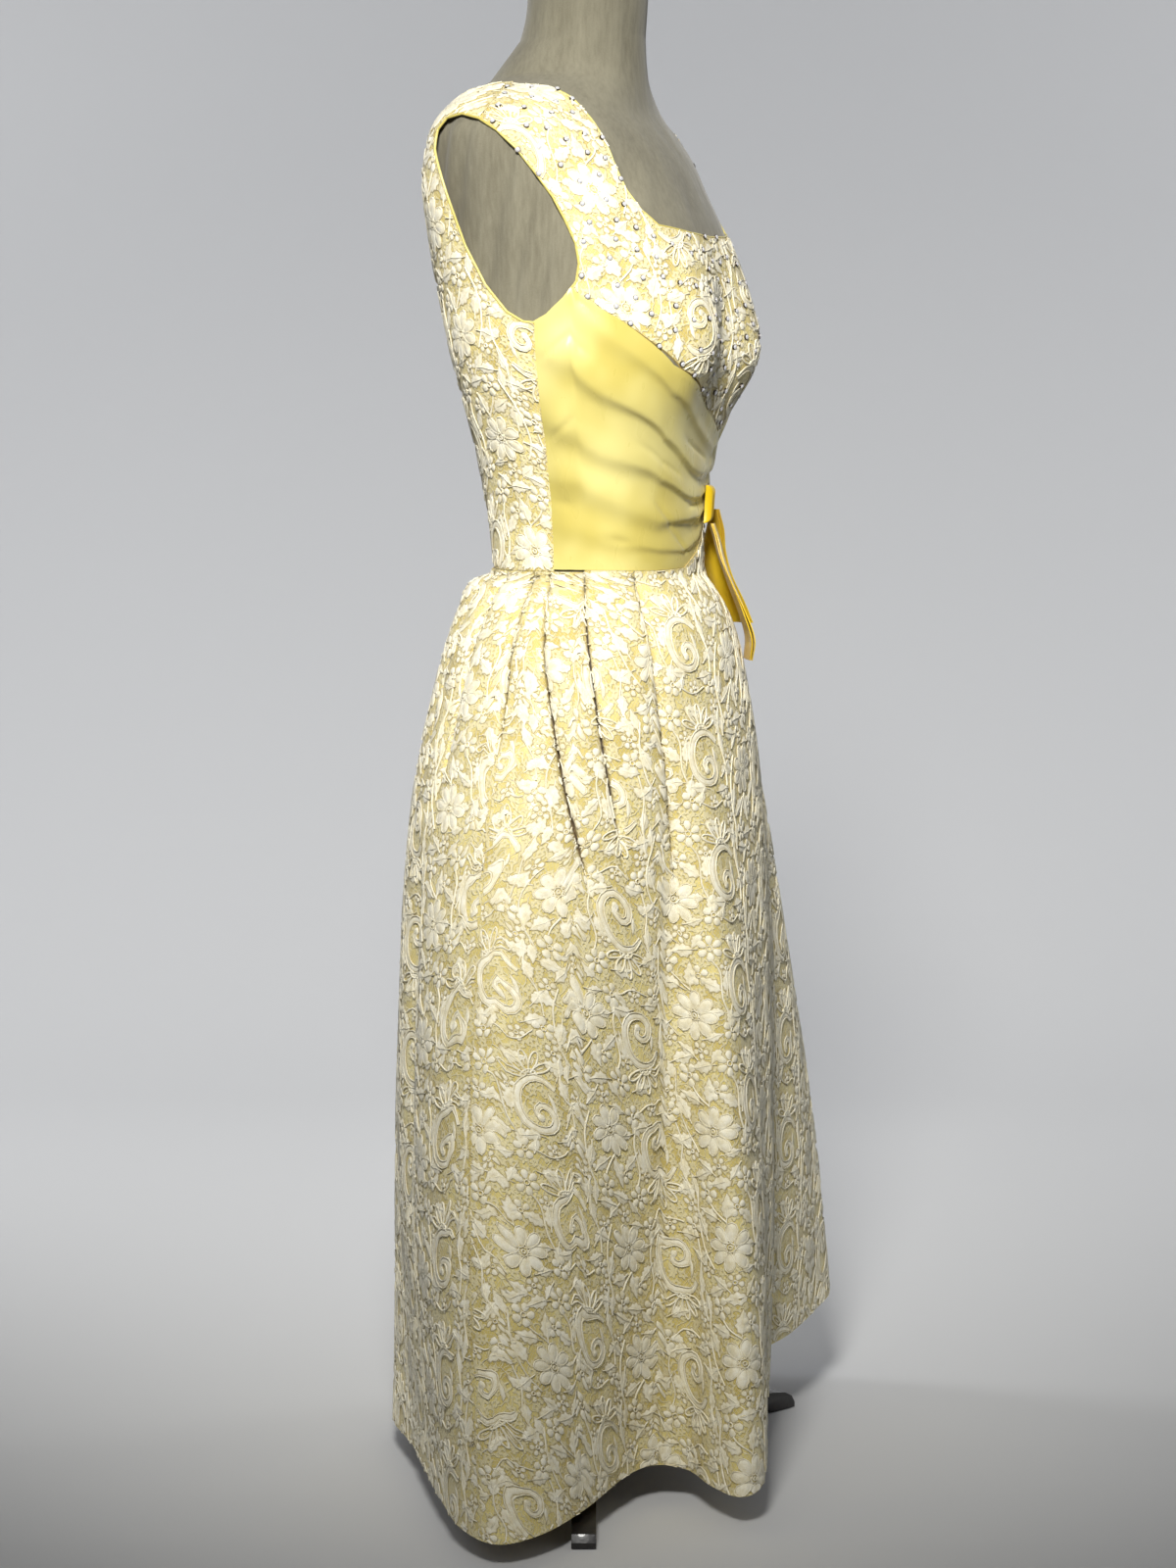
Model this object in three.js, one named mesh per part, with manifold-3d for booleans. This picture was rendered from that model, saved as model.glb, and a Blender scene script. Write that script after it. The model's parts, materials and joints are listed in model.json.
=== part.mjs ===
// A sleeveless lace evening gown with a draped satin midriff, worn by a limbless dress form on a stand.
// Millimetres, Z up. The front faces -Y and the wearer's right is -X.
import * as THREE from 'three';
import { mergeVertices } from 'three/addons/utils/BufferGeometryUtils.js';
import Module from 'manifold-3d';

const wasm = await Module();
wasm.setup();
const { Manifold } = wasm;

// Driving sizes
const WALL = 1.6;            // thickness of a cloth wall
const REST = 0.35;           // gap between the form and the cloth it carries
const SEAM = 0.15;           // half the gap left at a seam
const WAIST_Z = 858;         // height of the waist seam
const FORM_BOTTOM = 690;     // flat underside of the form's hips
const NECK_TOP = 1402;       // flat top of the form's neck
const CHEST_Z = 1124;        // above this height the torso's rows fan out over the shoulders
const RIDGE_Y = 48;          // line of the shoulder seams
const KNOT_X = 48;           // the bow sits on the wearer's left of the middle
const WAIST_TURN = 844;      // above this height the skirt closes in to the waist
const EASE = 2.2;            // the skirt's waist stands a little off the form
const PLEAT_FADE = 0.3;      // part of a pleat's length over which it dies away
const SKIRT_COLUMNS = 108;
const TORSO_COLUMNS = 48;
const MIDRIFF = { columns: 13, rows: 22 };
const POLE = { y: 15, radius: 14, hub: 25, hubTop: 66 };
const LEG_HEADINGS = [-26, -158, 60];
const LEG_WIDTH = 22;
// A leg seen from the side: distance from the pole and height
const LEG_SIDE = [
  [8, 10], [232, 8], [242, 0], [275, 0], [275, 5], [271, 12], [262, 17], [244, 20], [170, 22], [110, 30], [60, 46],
  [8, 62],
];
const KNOT = { z: 917, half: 12, tall: 18, lift: 4.4, bulge: 6 };
// The bow's tails: at each row the place of the middle (x, y, z), the width and how far it is turned
const TAIL_FRONT = table(['x', 'y', 'z', 'width', 'turn'], [
  [48.4, -96, 898.2, 18, 14], [51, -100, 884, 25, 16], [53, -104, 866, 34, 18], [57, -112, 842, 44, 20],
  [62, -122, 815, 52, 22], [67, -128, 790, 57, 24], [71, -125, 770, 50, 24],
]);
const TAIL_SIDE = table(['x', 'y', 'z', 'width', 'turn'], [
  [65.8, -92.3, 911, 14, 40], [77, -88, 893, 25, 52], [88, -83, 872, 33, 56], [98, -84, 848, 40, 57],
  [108, -90, 824, 44, 58], [115, -98, 802, 40, 58],
]);
const TAIL_FOLD = 5;         // gap between the two layers of a folded tail
const ZIP_PULL = { z: [1232, 1246], half: 2.2, thick: 1.5 };

// The form's sections: height, half width, the line of its widest points, reach forwards and
// backwards from the axis, and how square the section is
const FORM = table(['z', 'a', 'mid', 'front', 'back', 'n'], [
  [680, 148, 4, 104, 118, 2.1], [740, 143, 2, 100, 114, 2.1], [800, 124, 0, 93, 102, 2.2],
  [838, 112, 0, 88, 93, 2.3], [860, 109, 0, 87, 90, 2.3], [900, 111, 0, 87, 94, 2.3],
  [935, 117, 0, 89, 100, 2.3], [968, 125, 0, 95, 105, 2.3], [1005, 137, 2, 104, 112, 2.4],
  [1035, 146, 4, 111, 119, 2.4], [1062, 150, 6, 115, 126, 2.4], [1097, 152, 12, 115, 133, 2.4],
  [1134, 154, 20, 113, 139, 2.4], [1171, 157, 28, 104, 143, 2.3], [1208, 160, 38, 88, 147, 2.2],
  [1234, 161, 44, 75, 143, 2.2], [1256, 157, 48, 60, 137, 2.2], [1274, 141, 50, 48, 129, 2.1],
  [1291, 106, 46, 44, 119, 2.1], [1307, 73, 32, 43, 101, 2], [1324, 61, 22, 42, 85, 2],
  [1343, 58, 16, 41, 75, 2], [1372, 56, 12, 43, 68, 2], [1410, 57, 11, 45, 68, 2],
]);
const BUST = { x: 72, z: 1060, width: 47, below: 50, above: 66, height: 26 };
// Cloth stands off the form behind each armhole
const STAND_OFF = { x: 138, y: 98, z: 1195, spread: 46, height: 9 };

const TORSO_ROWS = [858, 884, 914, 948, 984, 1020, 1054, 1088, CHEST_Z];
const SHOULDER_ROWS = [10, 20, 29, 37, 44, 50, 56, 62, 66, 70];
const HIP_ROWS = [FORM_BOTTOM, 730, 775, 815, 840];
const NECK_ROWS = [1342, 1372, NECK_TOP];

// Edges seen straight from the side (y, z) and from the front (x, z)
const ARMHOLE = [
  [100, 1237], [91, 1214], [80, 1184], [68, 1150], [49, 1115], [28, 1091], [12, 1082], [2, 1081],
  [-11, 1088], [-27, 1103], [-37, 1117], [-39, 1133], [-36, 1151], [-27, 1171], [-16, 1192], [-1, 1213],
  [15, 1234], [34, 1251], [53, 1262], [72, 1267], [90, 1264], [99, 1254],
];
const FRONT_NECK = [
  [0, 1161], [44, 1163], [87, 1168], [99, 1181], [105, 1198], [107, 1225], [105, 1256], [101, 1280], [97, 1304],
];
const BACK_NECK = [[0, 1276], [40, 1279], [70, 1286], [97, 1304]];
// Where the lace front ends and the satin midriff starts, from the wearer's right to the left
const MIDRIFF_TOP = [
  [-152, 1114], [-139, 1092], [-113, 1064], [-88, 1040], [-38, 1019], [5, 1002], [KNOT_X, 984],
  [72, 992], [100, 1022], [122, 1058], [139, 1092], [152, 1114],
];
const MIDRIFF_BOTTOM = [
  [-125, 860], [-60, 858], [-16, 859], [18, 873], [37, 889], [KNOT_X, 905], [57, 889], [70, 873],
  [90, 859], [125, 860],
];
const OVERCUT = 2;           // degrees a draped piece is made too wide, and then trimmed
const ARM_FRONT = 36;        // reach forwards of the armhole, where the midriff's top edge leaves it

// Draped folds of the midriff: the places of a fold's lower edge (0 bottom, 1 top) from the side
// seam to the bow, how far it stands out and its half widths above and below that edge
const DRAPE_STEPS = [0, 0.15, 0.4, 0.7, 1];
const DRAPES = table(['edge', 'height', 'above', 'below'], [
  [[0.92, 0.72, 0.68, 0.6, 0.6], 5, 0.1, 0.035], [[0.64, 0.48, 0.47, 0.43, 0.42], 5, 0.1, 0.035],
  [[0.4, 0.32, 0.26, 0.3, 0.25], 4.4, 0.08, 0.035], [[0.2, 0.15, 0.12, 0.12, 0.1], 2.4, 0.06, 0.035],
  [[1.02, 0.93, 0.9, 0.84, 0.8], 3, 0.06, 0.035],
]);

// The skirt's cloth without its lobes: height and reach to the side, forwards and backwards
const FALL = table(['z', 'side', 'front', 'back'], [
  [856, 113, 92, 100], [846, 120, 97, 118], [832, 133, 106, 126], [812, 148, 116, 132],
  [785, 164, 124, 140], [745, 178, 131, 149], [700, 191, 137, 159], [640, 208, 141, 167],
  [560, 225, 147, 175], [458, 246, 153, 182], [350, 266, 160, 190], [236, 284, 172, 192],
  [100, 300, 180, 186],
]);
// The hem, from the front round by the wearer's right: x, y and height
const HEM = [
  [-20, -172, 60], [-70, -193, 48], [-128, -209, 34], [-151, -197, 30], [-130, -163, 30], [-98, -128, 32],
  [-107, -100, 36], [-142, -84, 34], [-231, -79, 28], [-300, -66, 24], [-334, -38, 22], [-310, 6, 24],
  [-252, 52, 28], [-190, 95, 31], [-127, 136, 31], [-87, 165, 29], [-40, 198, 26], [18, 218, 26],
  [76, 204, 30], [118, 160, 38], [150, 112, 46], [215, 96, 52], [294, 54, 66], [344, -26, 84],
  [344, -112, 96], [268, -128, 96], [180, -130, 92], [126, -122, 88], [84, -138, 82], [34, -158, 72],
];
const SKIRT_ROWS = [855, 847, 836, 820, 798, 768, 728, 680, 616, 536, 440, 330, 216, 110, 0];
// Pleats and long soft folds: angle from the front at each end (positive to the wearer's right),
// heights of the ends, depth and half width in degrees
const PLEATS = table(['top', 'foot', 'high', 'low', 'depth', 'width'], [
  [50.7, 42.3, 860, 558, 8, 4.6], [76, 60.7, 860, 581, 8, 4.6], [92.6, 68.3, 860, 550, 8, 4.6], [101, 96, 860, 690, 7, 4.4],
  [118, 116, 860, 650, 7, 4.4], [135, 134, 860, 600, 7, 4.4], [152, 150, 860, 640, 7, 4.4],
  [169, 168, 860, 600, 7, 4.4], [124, 118, 640, 250, 11, 6], [45, 48, 700, 120, 9, 5],
]);
const LEFT_SHIFT = 3;        // the left half's pleats fall a little differently

function table(columns, rows) {
  return rows.map((row) => Object.fromEntries(columns.map((name, i) => [name, row[i]])));
}

const clamp = (v, lo, hi) => Math.min(hi, Math.max(lo, v));
const smooth = (t) => { const u = clamp(t, 0, 1); return u * u * (3 - 2 * u); };
const bell = (t) => Math.exp(-t * t);
const rad = (degrees) => degrees * Math.PI / 180;

// Value of a column at height z, with a smooth curve through the rows
function atHeight(rows, column, z) {
  const list = rows[0].z < rows[rows.length - 1].z ? rows : [...rows].reverse();
  if (z <= list[0].z) return list[0][column];
  if (z >= list[list.length - 1].z) return list[list.length - 1][column];
  const i = list.findIndex((row) => row.z > z) - 1;
  const [p, q] = [list[i], list[i + 1]];
  const slope = (k) => {
    const [lo, hi] = [list[Math.max(k - 1, 0)], list[Math.min(k + 1, list.length - 1)]];
    return (hi[column] - lo[column]) / (hi.z - lo.z);
  };
  const h = q.z - p.z;
  const t = (z - p.z) / h;
  return (2 * t ** 3 - 3 * t ** 2 + 1) * p[column] + (t ** 3 - 2 * t ** 2 + t) * h * slope(i)
    + (3 * t ** 2 - 2 * t ** 3) * q[column] + (t ** 3 - t ** 2) * h * slope(i + 1);
}

// Height of an edge given as points (u, z), at the place u
function edgeAt(points, u) {
  const first = points[0][0] < points[points.length - 1][0] ? points : [...points].reverse();
  if (u <= first[0][0]) return first[0][1];
  const i = first.findIndex((p) => p[0] > u);
  if (i < 0) return first[first.length - 1][1];
  const [p, q] = [first[i - 1], first[i]];
  return p[1] + (q[1] - p[1]) * (u - p[0]) / (q[0] - p[0]);
}

// Below zero inside the form, above zero outside it
function formField(x, y, z) {
  const get = (column) => atHeight(FORM, column, z);
  const mid = get('mid');
  const lift = BUST.height * bell((z - BUST.z) / (z < BUST.z ? BUST.below : BUST.above))
    * bell((Math.abs(x) - BUST.x) / BUST.width);
  const reach = y < mid ? get('front') + lift + mid : get('back') - mid;
  const n = get('n');
  return Math.pow(Math.pow(Math.abs(x) / get('a'), n) + Math.pow(Math.abs(y - mid) / reach, n), 1 / n) - 1;
}

function surfaceHit(origin, direction) {
  let [inside, outside] = [0, 400];
  for (let i = 0; i < 40; i++) {
    const t = (inside + outside) / 2;
    const p = origin.map((o, k) => o + direction[k] * t);
    if (formField(...p) < 0) inside = t; else outside = t;
  }
  return origin.map((o, k) => o + direction[k] * inside);
}

function formNormal([x, y, z]) {
  const h = 1.5;
  const d = (dx, dy, dz) => formField(x + dx, y + dy, z + dz) - formField(x - dx, y - dy, z - dz);
  return new THREE.Vector3(d(h, 0, 0), d(0, h, 0), d(0, 0, h)).normalize();
}

// Direction of column i: 0 is the front and the angle grows towards the wearer's right
const heading = (angle) => [-Math.sin(rad(angle)), -Math.cos(rad(angle))];

// Point on the form at a level row, or along a ray that climbs over the shoulder
function torsoPoint(angle, row, climb, offset) {
  const [dx, dy] = heading(angle);
  const rise = rad(climb);
  const lean = 40 * clamp(climb / 60, 0, 1);
  const level = row > CHEST_Z ? 16 : 0;
  const hit = surfaceHit([0, climb ? lean : level, row],
    [dx * Math.cos(rise), dy * Math.cos(rise), Math.sin(rise)]);
  const n = formNormal(hit);
  return n.multiplyScalar(offset).add(new THREE.Vector3(...hit));
}

const standOff = (p) => STAND_OFF.height * bell(Math.hypot(Math.abs(p.x) - STAND_OFF.x, p.y - STAND_OFF.y,
  (p.z - STAND_OFF.z) * 0.7) / STAND_OFF.spread);

function torsoRing(row, climb, offset, loose) {
  return Array.from({ length: TORSO_COLUMNS }, (_, i) => {
    const angle = 360 * i / TORSO_COLUMNS;
    const p = torsoPoint(angle, row, climb, offset);
    return loose ? torsoPoint(angle, row, climb, offset + standOff(p)) : p;
  });
}

// A closed body from faces given as corner loops of Vector3
function bodyFromFaces(faces) {
  const positions = [];
  for (const face of faces) {
    for (let i = 1; i + 1 < face.length; i++) {
      for (const p of [face[0], face[i], face[i + 1]]) positions.push(p.x, p.y, p.z);
    }
  }
  const geometry = new THREE.BufferGeometry();
  geometry.setAttribute('position', new THREE.Float32BufferAttribute(positions, 3));
  return mergeVertices(geometry, 1e-4);
}

function ringFaces(low, high, flip) {
  return low.map((p, i) => {
    const j = (i + 1) % low.length;
    return flip ? [p, high[i], high[j], low[j]] : [p, low[j], high[j], high[i]];
  });
}

// Columns run clockwise seen from above, so outward faces are the flipped ones
function stackedSolid(rings) {
  const faces = rings.slice(1).flatMap((ring, i) => ringFaces(rings[i], ring, true));
  return bodyFromFaces([...faces, rings[0], [...rings[rings.length - 1]].reverse()]);
}

function wrappedWall(outer, inner) {
  const last = outer.length - 1;
  const side = (rings, flip) => rings.slice(1).flatMap((ring, i) => ringFaces(rings[i], ring, flip));
  return bodyFromFaces([...side(outer, true), ...side(inner, false),
    ...ringFaces(outer[0], inner[0], false), ...ringFaces(outer[last], inner[last], true)]);
}

// A wall between two grids of points [row][column], closed round its rim
function gridWall(outer, inner) {
  const [rows, columns] = [outer.length, outer[0].length];
  const faces = [];
  for (let j = 0; j + 1 < rows; j++) {
    for (let i = 0; i + 1 < columns; i++) {
      faces.push([outer[j][i], outer[j][i + 1], outer[j + 1][i + 1], outer[j + 1][i]]);
      faces.push([inner[j][i], inner[j + 1][i], inner[j + 1][i + 1], inner[j][i + 1]]);
    }
  }
  const rim = (a, b, c, d) => faces.push([a, b, c, d]);
  for (let i = 0; i + 1 < columns; i++) {
    rim(outer[0][i + 1], outer[0][i], inner[0][i], inner[0][i + 1]);
    rim(outer[rows - 1][i], outer[rows - 1][i + 1], inner[rows - 1][i + 1], inner[rows - 1][i]);
  }
  for (let j = 0; j + 1 < rows; j++) {
    rim(outer[j][0], outer[j + 1][0], inner[j + 1][0], inner[j][0]);
    rim(outer[j + 1][columns - 1], outer[j][columns - 1], inner[j][columns - 1], inner[j + 1][columns - 1]);
  }
  return bodyFromFaces(faces);
}

function toManifold(geometry) {
  return new Manifold(new wasm.Mesh({
    numProp: 3,
    vertProperties: new Float32Array(geometry.getAttribute('position').array),
    triVerts: new Uint32Array(geometry.getIndex().array),
  }));
}

function fromManifold(solid) {
  const mesh = solid.getMesh();
  const geometry = new THREE.BufferGeometry();
  geometry.setAttribute('position', new THREE.Float32BufferAttribute(mesh.vertProperties, 3));
  geometry.setIndex(new THREE.BufferAttribute(new Uint32Array(mesh.triVerts), 1));
  return geometry;
}

function area(loop) {
  return loop.reduce((sum, p, i) => {
    const q = loop[(i + 1) % loop.length];
    return sum + (p[0] * q[1] - q[0] * p[1]) / 2;
  }, 0);
}

const turned = (loop) => (area(loop) < 0 ? [...loop].reverse() : loop);

// A prism on an outline seen from the side (y, z), between two places across
const sidePrism = (loop, from, to) => Manifold.extrude([turned(loop)], to - from)
  .rotate([90, 0, 90]).translate([from, 0, 0]);
// A prism on an outline seen from the front (x, z), between two places in depth
const frontPrism = (loop, from, to) => Manifold.extrude([turned(loop)], to - from)
  .rotate([90, 0, 0]).translate([0, to, 0]);

const mirrored = (points) => [...points].reverse().filter((p) => p[0] !== 0).map(([u, z]) => [-u, z]);
const neckLoop = (edge) => [...mirrored(edge), ...edge, [edge[edge.length - 1][0], 1460],
  [-edge[edge.length - 1][0], 1460]];

function bodiceShell() {
  const rings = (offset) => [
    ...TORSO_ROWS.map((z) => torsoRing(z, 0, offset, true)),
    ...SHOULDER_ROWS.map((climb) => torsoRing(CHEST_Z, climb, offset, true)),
  ];
  return toManifold(wrappedWall(rings(REST + WALL), rings(REST)))
    .subtract(frontPrism(neckLoop(FRONT_NECK), -300, RIDGE_Y))
    .subtract(frontPrism(neckLoop(BACK_NECK), RIDGE_Y - 1, 300))
    .subtract(sidePrism(ARMHOLE, -400, -60))
    .subtract(sidePrism(ARMHOLE, 60, 400));
}

function bodiceFront(shell) {
  const lower = MIDRIFF_TOP.map(([x, z]) => [x, z + SEAM]);
  const loop = [...lower, [300, 1114], [300, 1460], [-300, 1460], [-300, 1114]];
  const ahead = [[-400, 820], [0, 820], [0, 1160], [RIDGE_Y - SEAM, 1240], [RIDGE_Y - SEAM, 1460], [-400, 1460]];
  return fromManifold(shell.intersect(frontPrism(loop, -300, 200)).intersect(sidePrism(ahead, -400, 400)));
}

function bodiceBack(shell, side) {
  const loop = [[SEAM, 820], [SEAM, 1160], [RIDGE_Y + SEAM, 1240], [RIDGE_Y + SEAM, 1460], [400, 1460], [400, 820]];
  const [from, to] = side < 0 ? [-400, -SEAM] : [SEAM, 400];
  return fromManifold(shell.intersect(sidePrism(loop, from, to)));
}

// Height of the midriff's lower or upper edge on the line of one angle
function midriffEdge(edge, angle) {
  let z = edge === MIDRIFF_TOP ? 1040 : 870;
  for (let i = 0; i < 30; i++) {
    const p = torsoPoint(angle, z, 0, REST + WALL);
    const arm = 1081 + 35 * Math.pow(clamp(-p.y / ARM_FRONT, 0, 1), 1.15);
    const onArm = edge === MIDRIFF_TOP && -p.y < ARM_FRONT;
    z += 0.6 * ((onArm ? arm : edgeAt(edge, p.x)) - z);
  }
  return z;
}

// Angle at height z of the line where the two midriff pieces meet under the bow
function meetingAngle(z) {
  let angle = -20;
  for (let i = 0; i < 12; i++) {
    const p = torsoPoint(angle, z, 0, REST + WALL);
    angle = -Math.atan2(KNOT_X, -p.y) * 180 / Math.PI;
  }
  return angle;
}

// How far the drapes stand out at u (side seam to bow) and v (bottom to top)
function drapeHeight(u, v) {
  const reach = (smooth(u / 0.08) * 0.75 + 0.25) * (1 - 0.42 * smooth((u - 0.7) / 0.25));
  return DRAPES.reduce((sum, fold) => {
    const off = v - edgeAt(fold.edge.map((place, i) => [DRAPE_STEPS[i], place]), u);
    return sum + fold.height * reach * bell(off / (off > 0 ? fold.above : fold.below));
  }, 0) + 0.8;
}

const aboveEdge = (edge, lift) => frontPrism([...edge.map(([x, z]) => [x, z + lift]),
  [300, edge[edge.length - 1][1] + lift], [300, 1460], [-300, 1460], [-300, edge[0][1] + lift]], -300, 0);
const belowEdge = (edge, lift) => frontPrism([...edge.map(([x, z]) => [x, z + lift]),
  [300, edge[edge.length - 1][1] + lift], [300, 700], [-300, 700], [-300, edge[0][1] + lift]], -300, 0);

function midriff(side) {
  const grid = (lift) => {
    const columns = Array.from({ length: MIDRIFF.columns + 1 }, (_, i) => {
      const u = i / MIDRIFF.columns;
      const start = -side * (90 + OVERCUT);
      const end = (z) => meetingAngle(z) + side * OVERCUT;
      const seed = start + (end(940) - start) * u;
      const [low, high] = [midriffEdge(MIDRIFF_BOTTOM, seed) - 3, midriffEdge(MIDRIFF_TOP, seed) + 4];
      return Array.from({ length: MIDRIFF.rows + 1 }, (_, j) => {
        const v = j / MIDRIFF.rows;
        const z = low + (high - low) * v;
        const angle = start + (end(z) - start) * u;
        return torsoPoint(angle, z, 0, lift + drapeHeight(u, v) * smooth(Math.min(v, 1 - v) / 0.05 + 0.3));
      });
    });
    return Array.from({ length: MIDRIFF.rows + 1 }, (_, j) => columns.map((column) => column[j]));
  };
  let [outer, inner] = [grid(REST + WALL + 0.25), grid(REST + 0.25)];
  if (side > 0) [outer, inner] = [outer, inner].map((rows) => rows.map((row) => [...row].reverse()));
  const beyond = side < 0 ? [KNOT_X - SEAM, 300] : [-300, KNOT_X + SEAM];
  return fromManifold(toManifold(gridWall(outer, inner))
    .subtract(sidePrism([[-SEAM, 700], [300, 700], [300, 1400], [-SEAM, 1400]], -400, 400))
    .subtract(sidePrism(ARMHOLE, side < 0 ? -400 : 60, side < 0 ? -60 : 400))
    .subtract(aboveEdge(MIDRIFF_TOP, -SEAM))
    .subtract(belowEdge(MIDRIFF_BOTTOM, SEAM))
    .subtract(sidePrism([[-300, 700], [0, 700], [0, 1000], [-300, 1000]], ...beyond)));
}

// A smooth closed curve through the hem's points, at the part t of its length
function hemPoint(t, lengths) {
  const goal = (((t % 1) + 1) % 1) * lengths[lengths.length - 1];
  const i = clamp(lengths.findIndex((l) => l > goal) - 1, 0, lengths.length - 2);
  const f = (goal - lengths[i]) / (lengths[i + 1] - lengths[i]);
  return curvePoint((i + f) / (lengths.length - 1));
}

function curvePoint(t) {
  const n = HEM.length;
  const s = ((t % 1) + 1) % 1 * n;
  const i = Math.floor(s);
  const f = s - i;
  const [a, b, c, d] = [-1, 0, 1, 2].map((k) => HEM[(i + k + n) % n]);
  return [0, 1, 2].map((k) => 0.5 * (2 * b[k] + (c[k] - a[k]) * f + (2 * a[k] - 5 * b[k] + 4 * c[k] - d[k]) * f ** 2
    + (3 * b[k] - a[k] - 3 * c[k] + d[k]) * f ** 3));
}

function hemLengths() {
  const steps = 600;
  const lengths = [0];
  for (let i = 1; i <= steps; i++) {
    const [p, q] = [curvePoint((i - 1) / steps), curvePoint(i / steps)];
    lengths.push(lengths[i - 1] + Math.hypot(q[0] - p[0], q[1] - p[1]));
  }
  return lengths;
}

const LENGTHS = hemLengths();

// Part of the hem's length that lies below an angle at the waist: the side lobes take the most cloth
function waistAngle(t) {
  const [x, y] = hemPoint(t, LENGTHS);
  const polar = Math.atan2(-x, -y) * 180 / Math.PI;
  const level = ((360 * t + 180) % 360) - 180;
  const gap = ((polar - level + 540) % 360) - 180;
  return level + 0.35 * gap;
}

function hipRing(angle, z) {
  const get = (column) => atHeight(FALL, column, z);
  const [dx, dy] = heading(angle);
  const reach = dy < 0 ? get('front') : get('back');
  const r = 1 / Math.sqrt((dx / get('side')) ** 2 + (dy / reach) ** 2);
  const worn = smooth((z - WAIST_TURN) / (WAIST_Z - 4 - WAIST_TURN));
  if (!worn) return [dx * r, dy * r];
  const on = torsoPoint(angle, z, 0, REST + WALL / 2 + EASE);
  return [dx * r + (on.x - dx * r) * worn, dy * r + (on.y - dy * r) * worn];
}

function pleatDepth(x, y, z) {
  const angle = Math.atan2(-x, -y) * 180 / Math.PI;
  let sum = 0;
  for (const p of PLEATS) {
    if (z < p.low || z > p.high) continue;
    const f = (p.high - z) / (p.high - p.low);
    const start = p.high > WAIST_Z ? smooth((WAIST_Z + 2 - z) / 44) : smooth(f / PLEAT_FADE);
    const fade = smooth((1 - f) / PLEAT_FADE) * start;
    for (const side of [1, -1]) {
      const shift = side > 0 ? 0 : LEFT_SHIFT;
      const centre = side * (p.top + (p.foot - p.top) * f + shift);
      const off = ((angle - centre + 540) % 360) - 180;
      sum += p.depth * fade * bell(off / p.width);
    }
  }
  return sum;
}

// The skirt's middle surface: t goes round it and z is the height
function skirtPoint(t, z) {
  const hem = hemPoint(t, LENGTHS);
  const angle = waistAngle(t);
  const low = hem[2];
  const level = Math.max(z, low);
  const ring = hipRing(angle, level);
  const w = smoothHang(clamp((760 - level) / (760 - low), 0, 1));
  const p = [ring[0] + (hem[0] - ring[0]) * w, ring[1] + (hem[1] - ring[1]) * w];
  const pull = pleatDepth(p[0], p[1], level) / Math.hypot(p[0], p[1]);
  return new THREE.Vector3(p[0] * (1 - pull), p[1] * (1 - pull), level);
}

// Cloth leaves the hips softly and then hangs straight
const smoothHang = (f) => (f < 0.12 ? f * f / 0.24 : f - 0.06) / 0.94;

function skirtTop(t) {
  const angle = waistAngle(t);
  const [x] = hipRing(angle, WAIST_Z);
  return Math.abs(angle) < 75 ? edgeAt(MIDRIFF_BOTTOM, x) + 3 : WAIST_Z - 2 * SEAM;
}

function skirtGrid(from, to, columns, shift) {
  return SKIRT_ROWS.map((row, j) => Array.from({ length: columns + 1 }, (_, i) => {
    const t = from + (to - from) * i / columns;
    const high = skirtTop(t);
    const low = hemPoint(t, LENGTHS)[2];
    const rowZ = (r) => low + (SKIRT_ROWS[r] / SKIRT_ROWS[0]) * (high - low);
    const z = rowZ(j);
    const [p, q] = [skirtPoint(t - 0.0012, z), skirtPoint(t + 0.0012, z)];
    const along = q.clone().sub(p).normalize();
    const out = new THREE.Vector3(-along.y, along.x, 0);
    return skirtPoint(t, z).addScaledVector(out, shift);
  }));
}

function skirtPanel(from, to) {
  const columns = Math.round(SKIRT_COLUMNS * (to - from));
  const seam = 0.0003;
  const grid = (shift) => skirtGrid(from + seam, to - seam, columns, shift);
  return gridWall(grid(WALL / 2), grid(-WALL / 2));
}

const skirtFront = (from, to) => fromManifold(toManifold(skirtPanel(from, to))
  .subtract(aboveEdge(MIDRIFF_BOTTOM, -SEAM)));

// Part of the hem's length at which the waist angle passes a seam's angle
function seamPlace(angle) {
  let best = 0;
  for (let i = 1; i < 4000; i++) {
    const off = (t) => Math.abs(((waistAngle(t) - angle + 540) % 360) - 180);
    if (off(i / 4000) < off(best)) best = i / 4000;
  }
  return best;
}

function formBody() {
  const rings = [
    ...HIP_ROWS.map((z) => torsoRing(z, 0, 0, false)),
    ...TORSO_ROWS.map((z) => torsoRing(z, 0, 0, false)),
    ...SHOULDER_ROWS.map((climb) => torsoRing(CHEST_Z, climb, 0, false)),
    ...NECK_ROWS.map((z) => torsoRing(z, 0, 0, false)),
  ];
  return stackedSolid(rings);
}

function bowKnot() {
  const angle = -Math.atan2(KNOT_X, 88) * 180 / Math.PI;
  const steps = [-1, -0.75, -0.4, 0, 0.4, 0.75, 1];
  const grid = (raised) => steps.map((v) => [...steps].reverse().map((u) => {
    const round = Math.sqrt(Math.max(0, 1 - Math.max(u * u, v * v) ** 2)) * (0.85 + 0.15 * Math.cos(9 * u));
    const lift = REST + WALL + KNOT.lift + (raised ? WALL + KNOT.bulge * round : 0);
    const pinch = 1 - 0.16 * (1 - v * v);
    return torsoPoint(angle + u * pinch * KNOT.half * 0.6, KNOT.z + v * KNOT.tall, 0, lift);
  }));
  return gridWall(grid(true), grid(false));
}

// Cross section of a folded tail: from the front layer round the fold to the back layer
const TAIL_SECTION = [[-0.5, 0], [-0.2, 0.06], [0.1, -0.04], [0.36, 0.05], [0.47, 0.3], [0.5, 0.5], [0.47, 0.7],
  [0.36, 0.95], [0.1, 1.04], [-0.2, 0.94], [-0.42, 1]];

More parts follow.
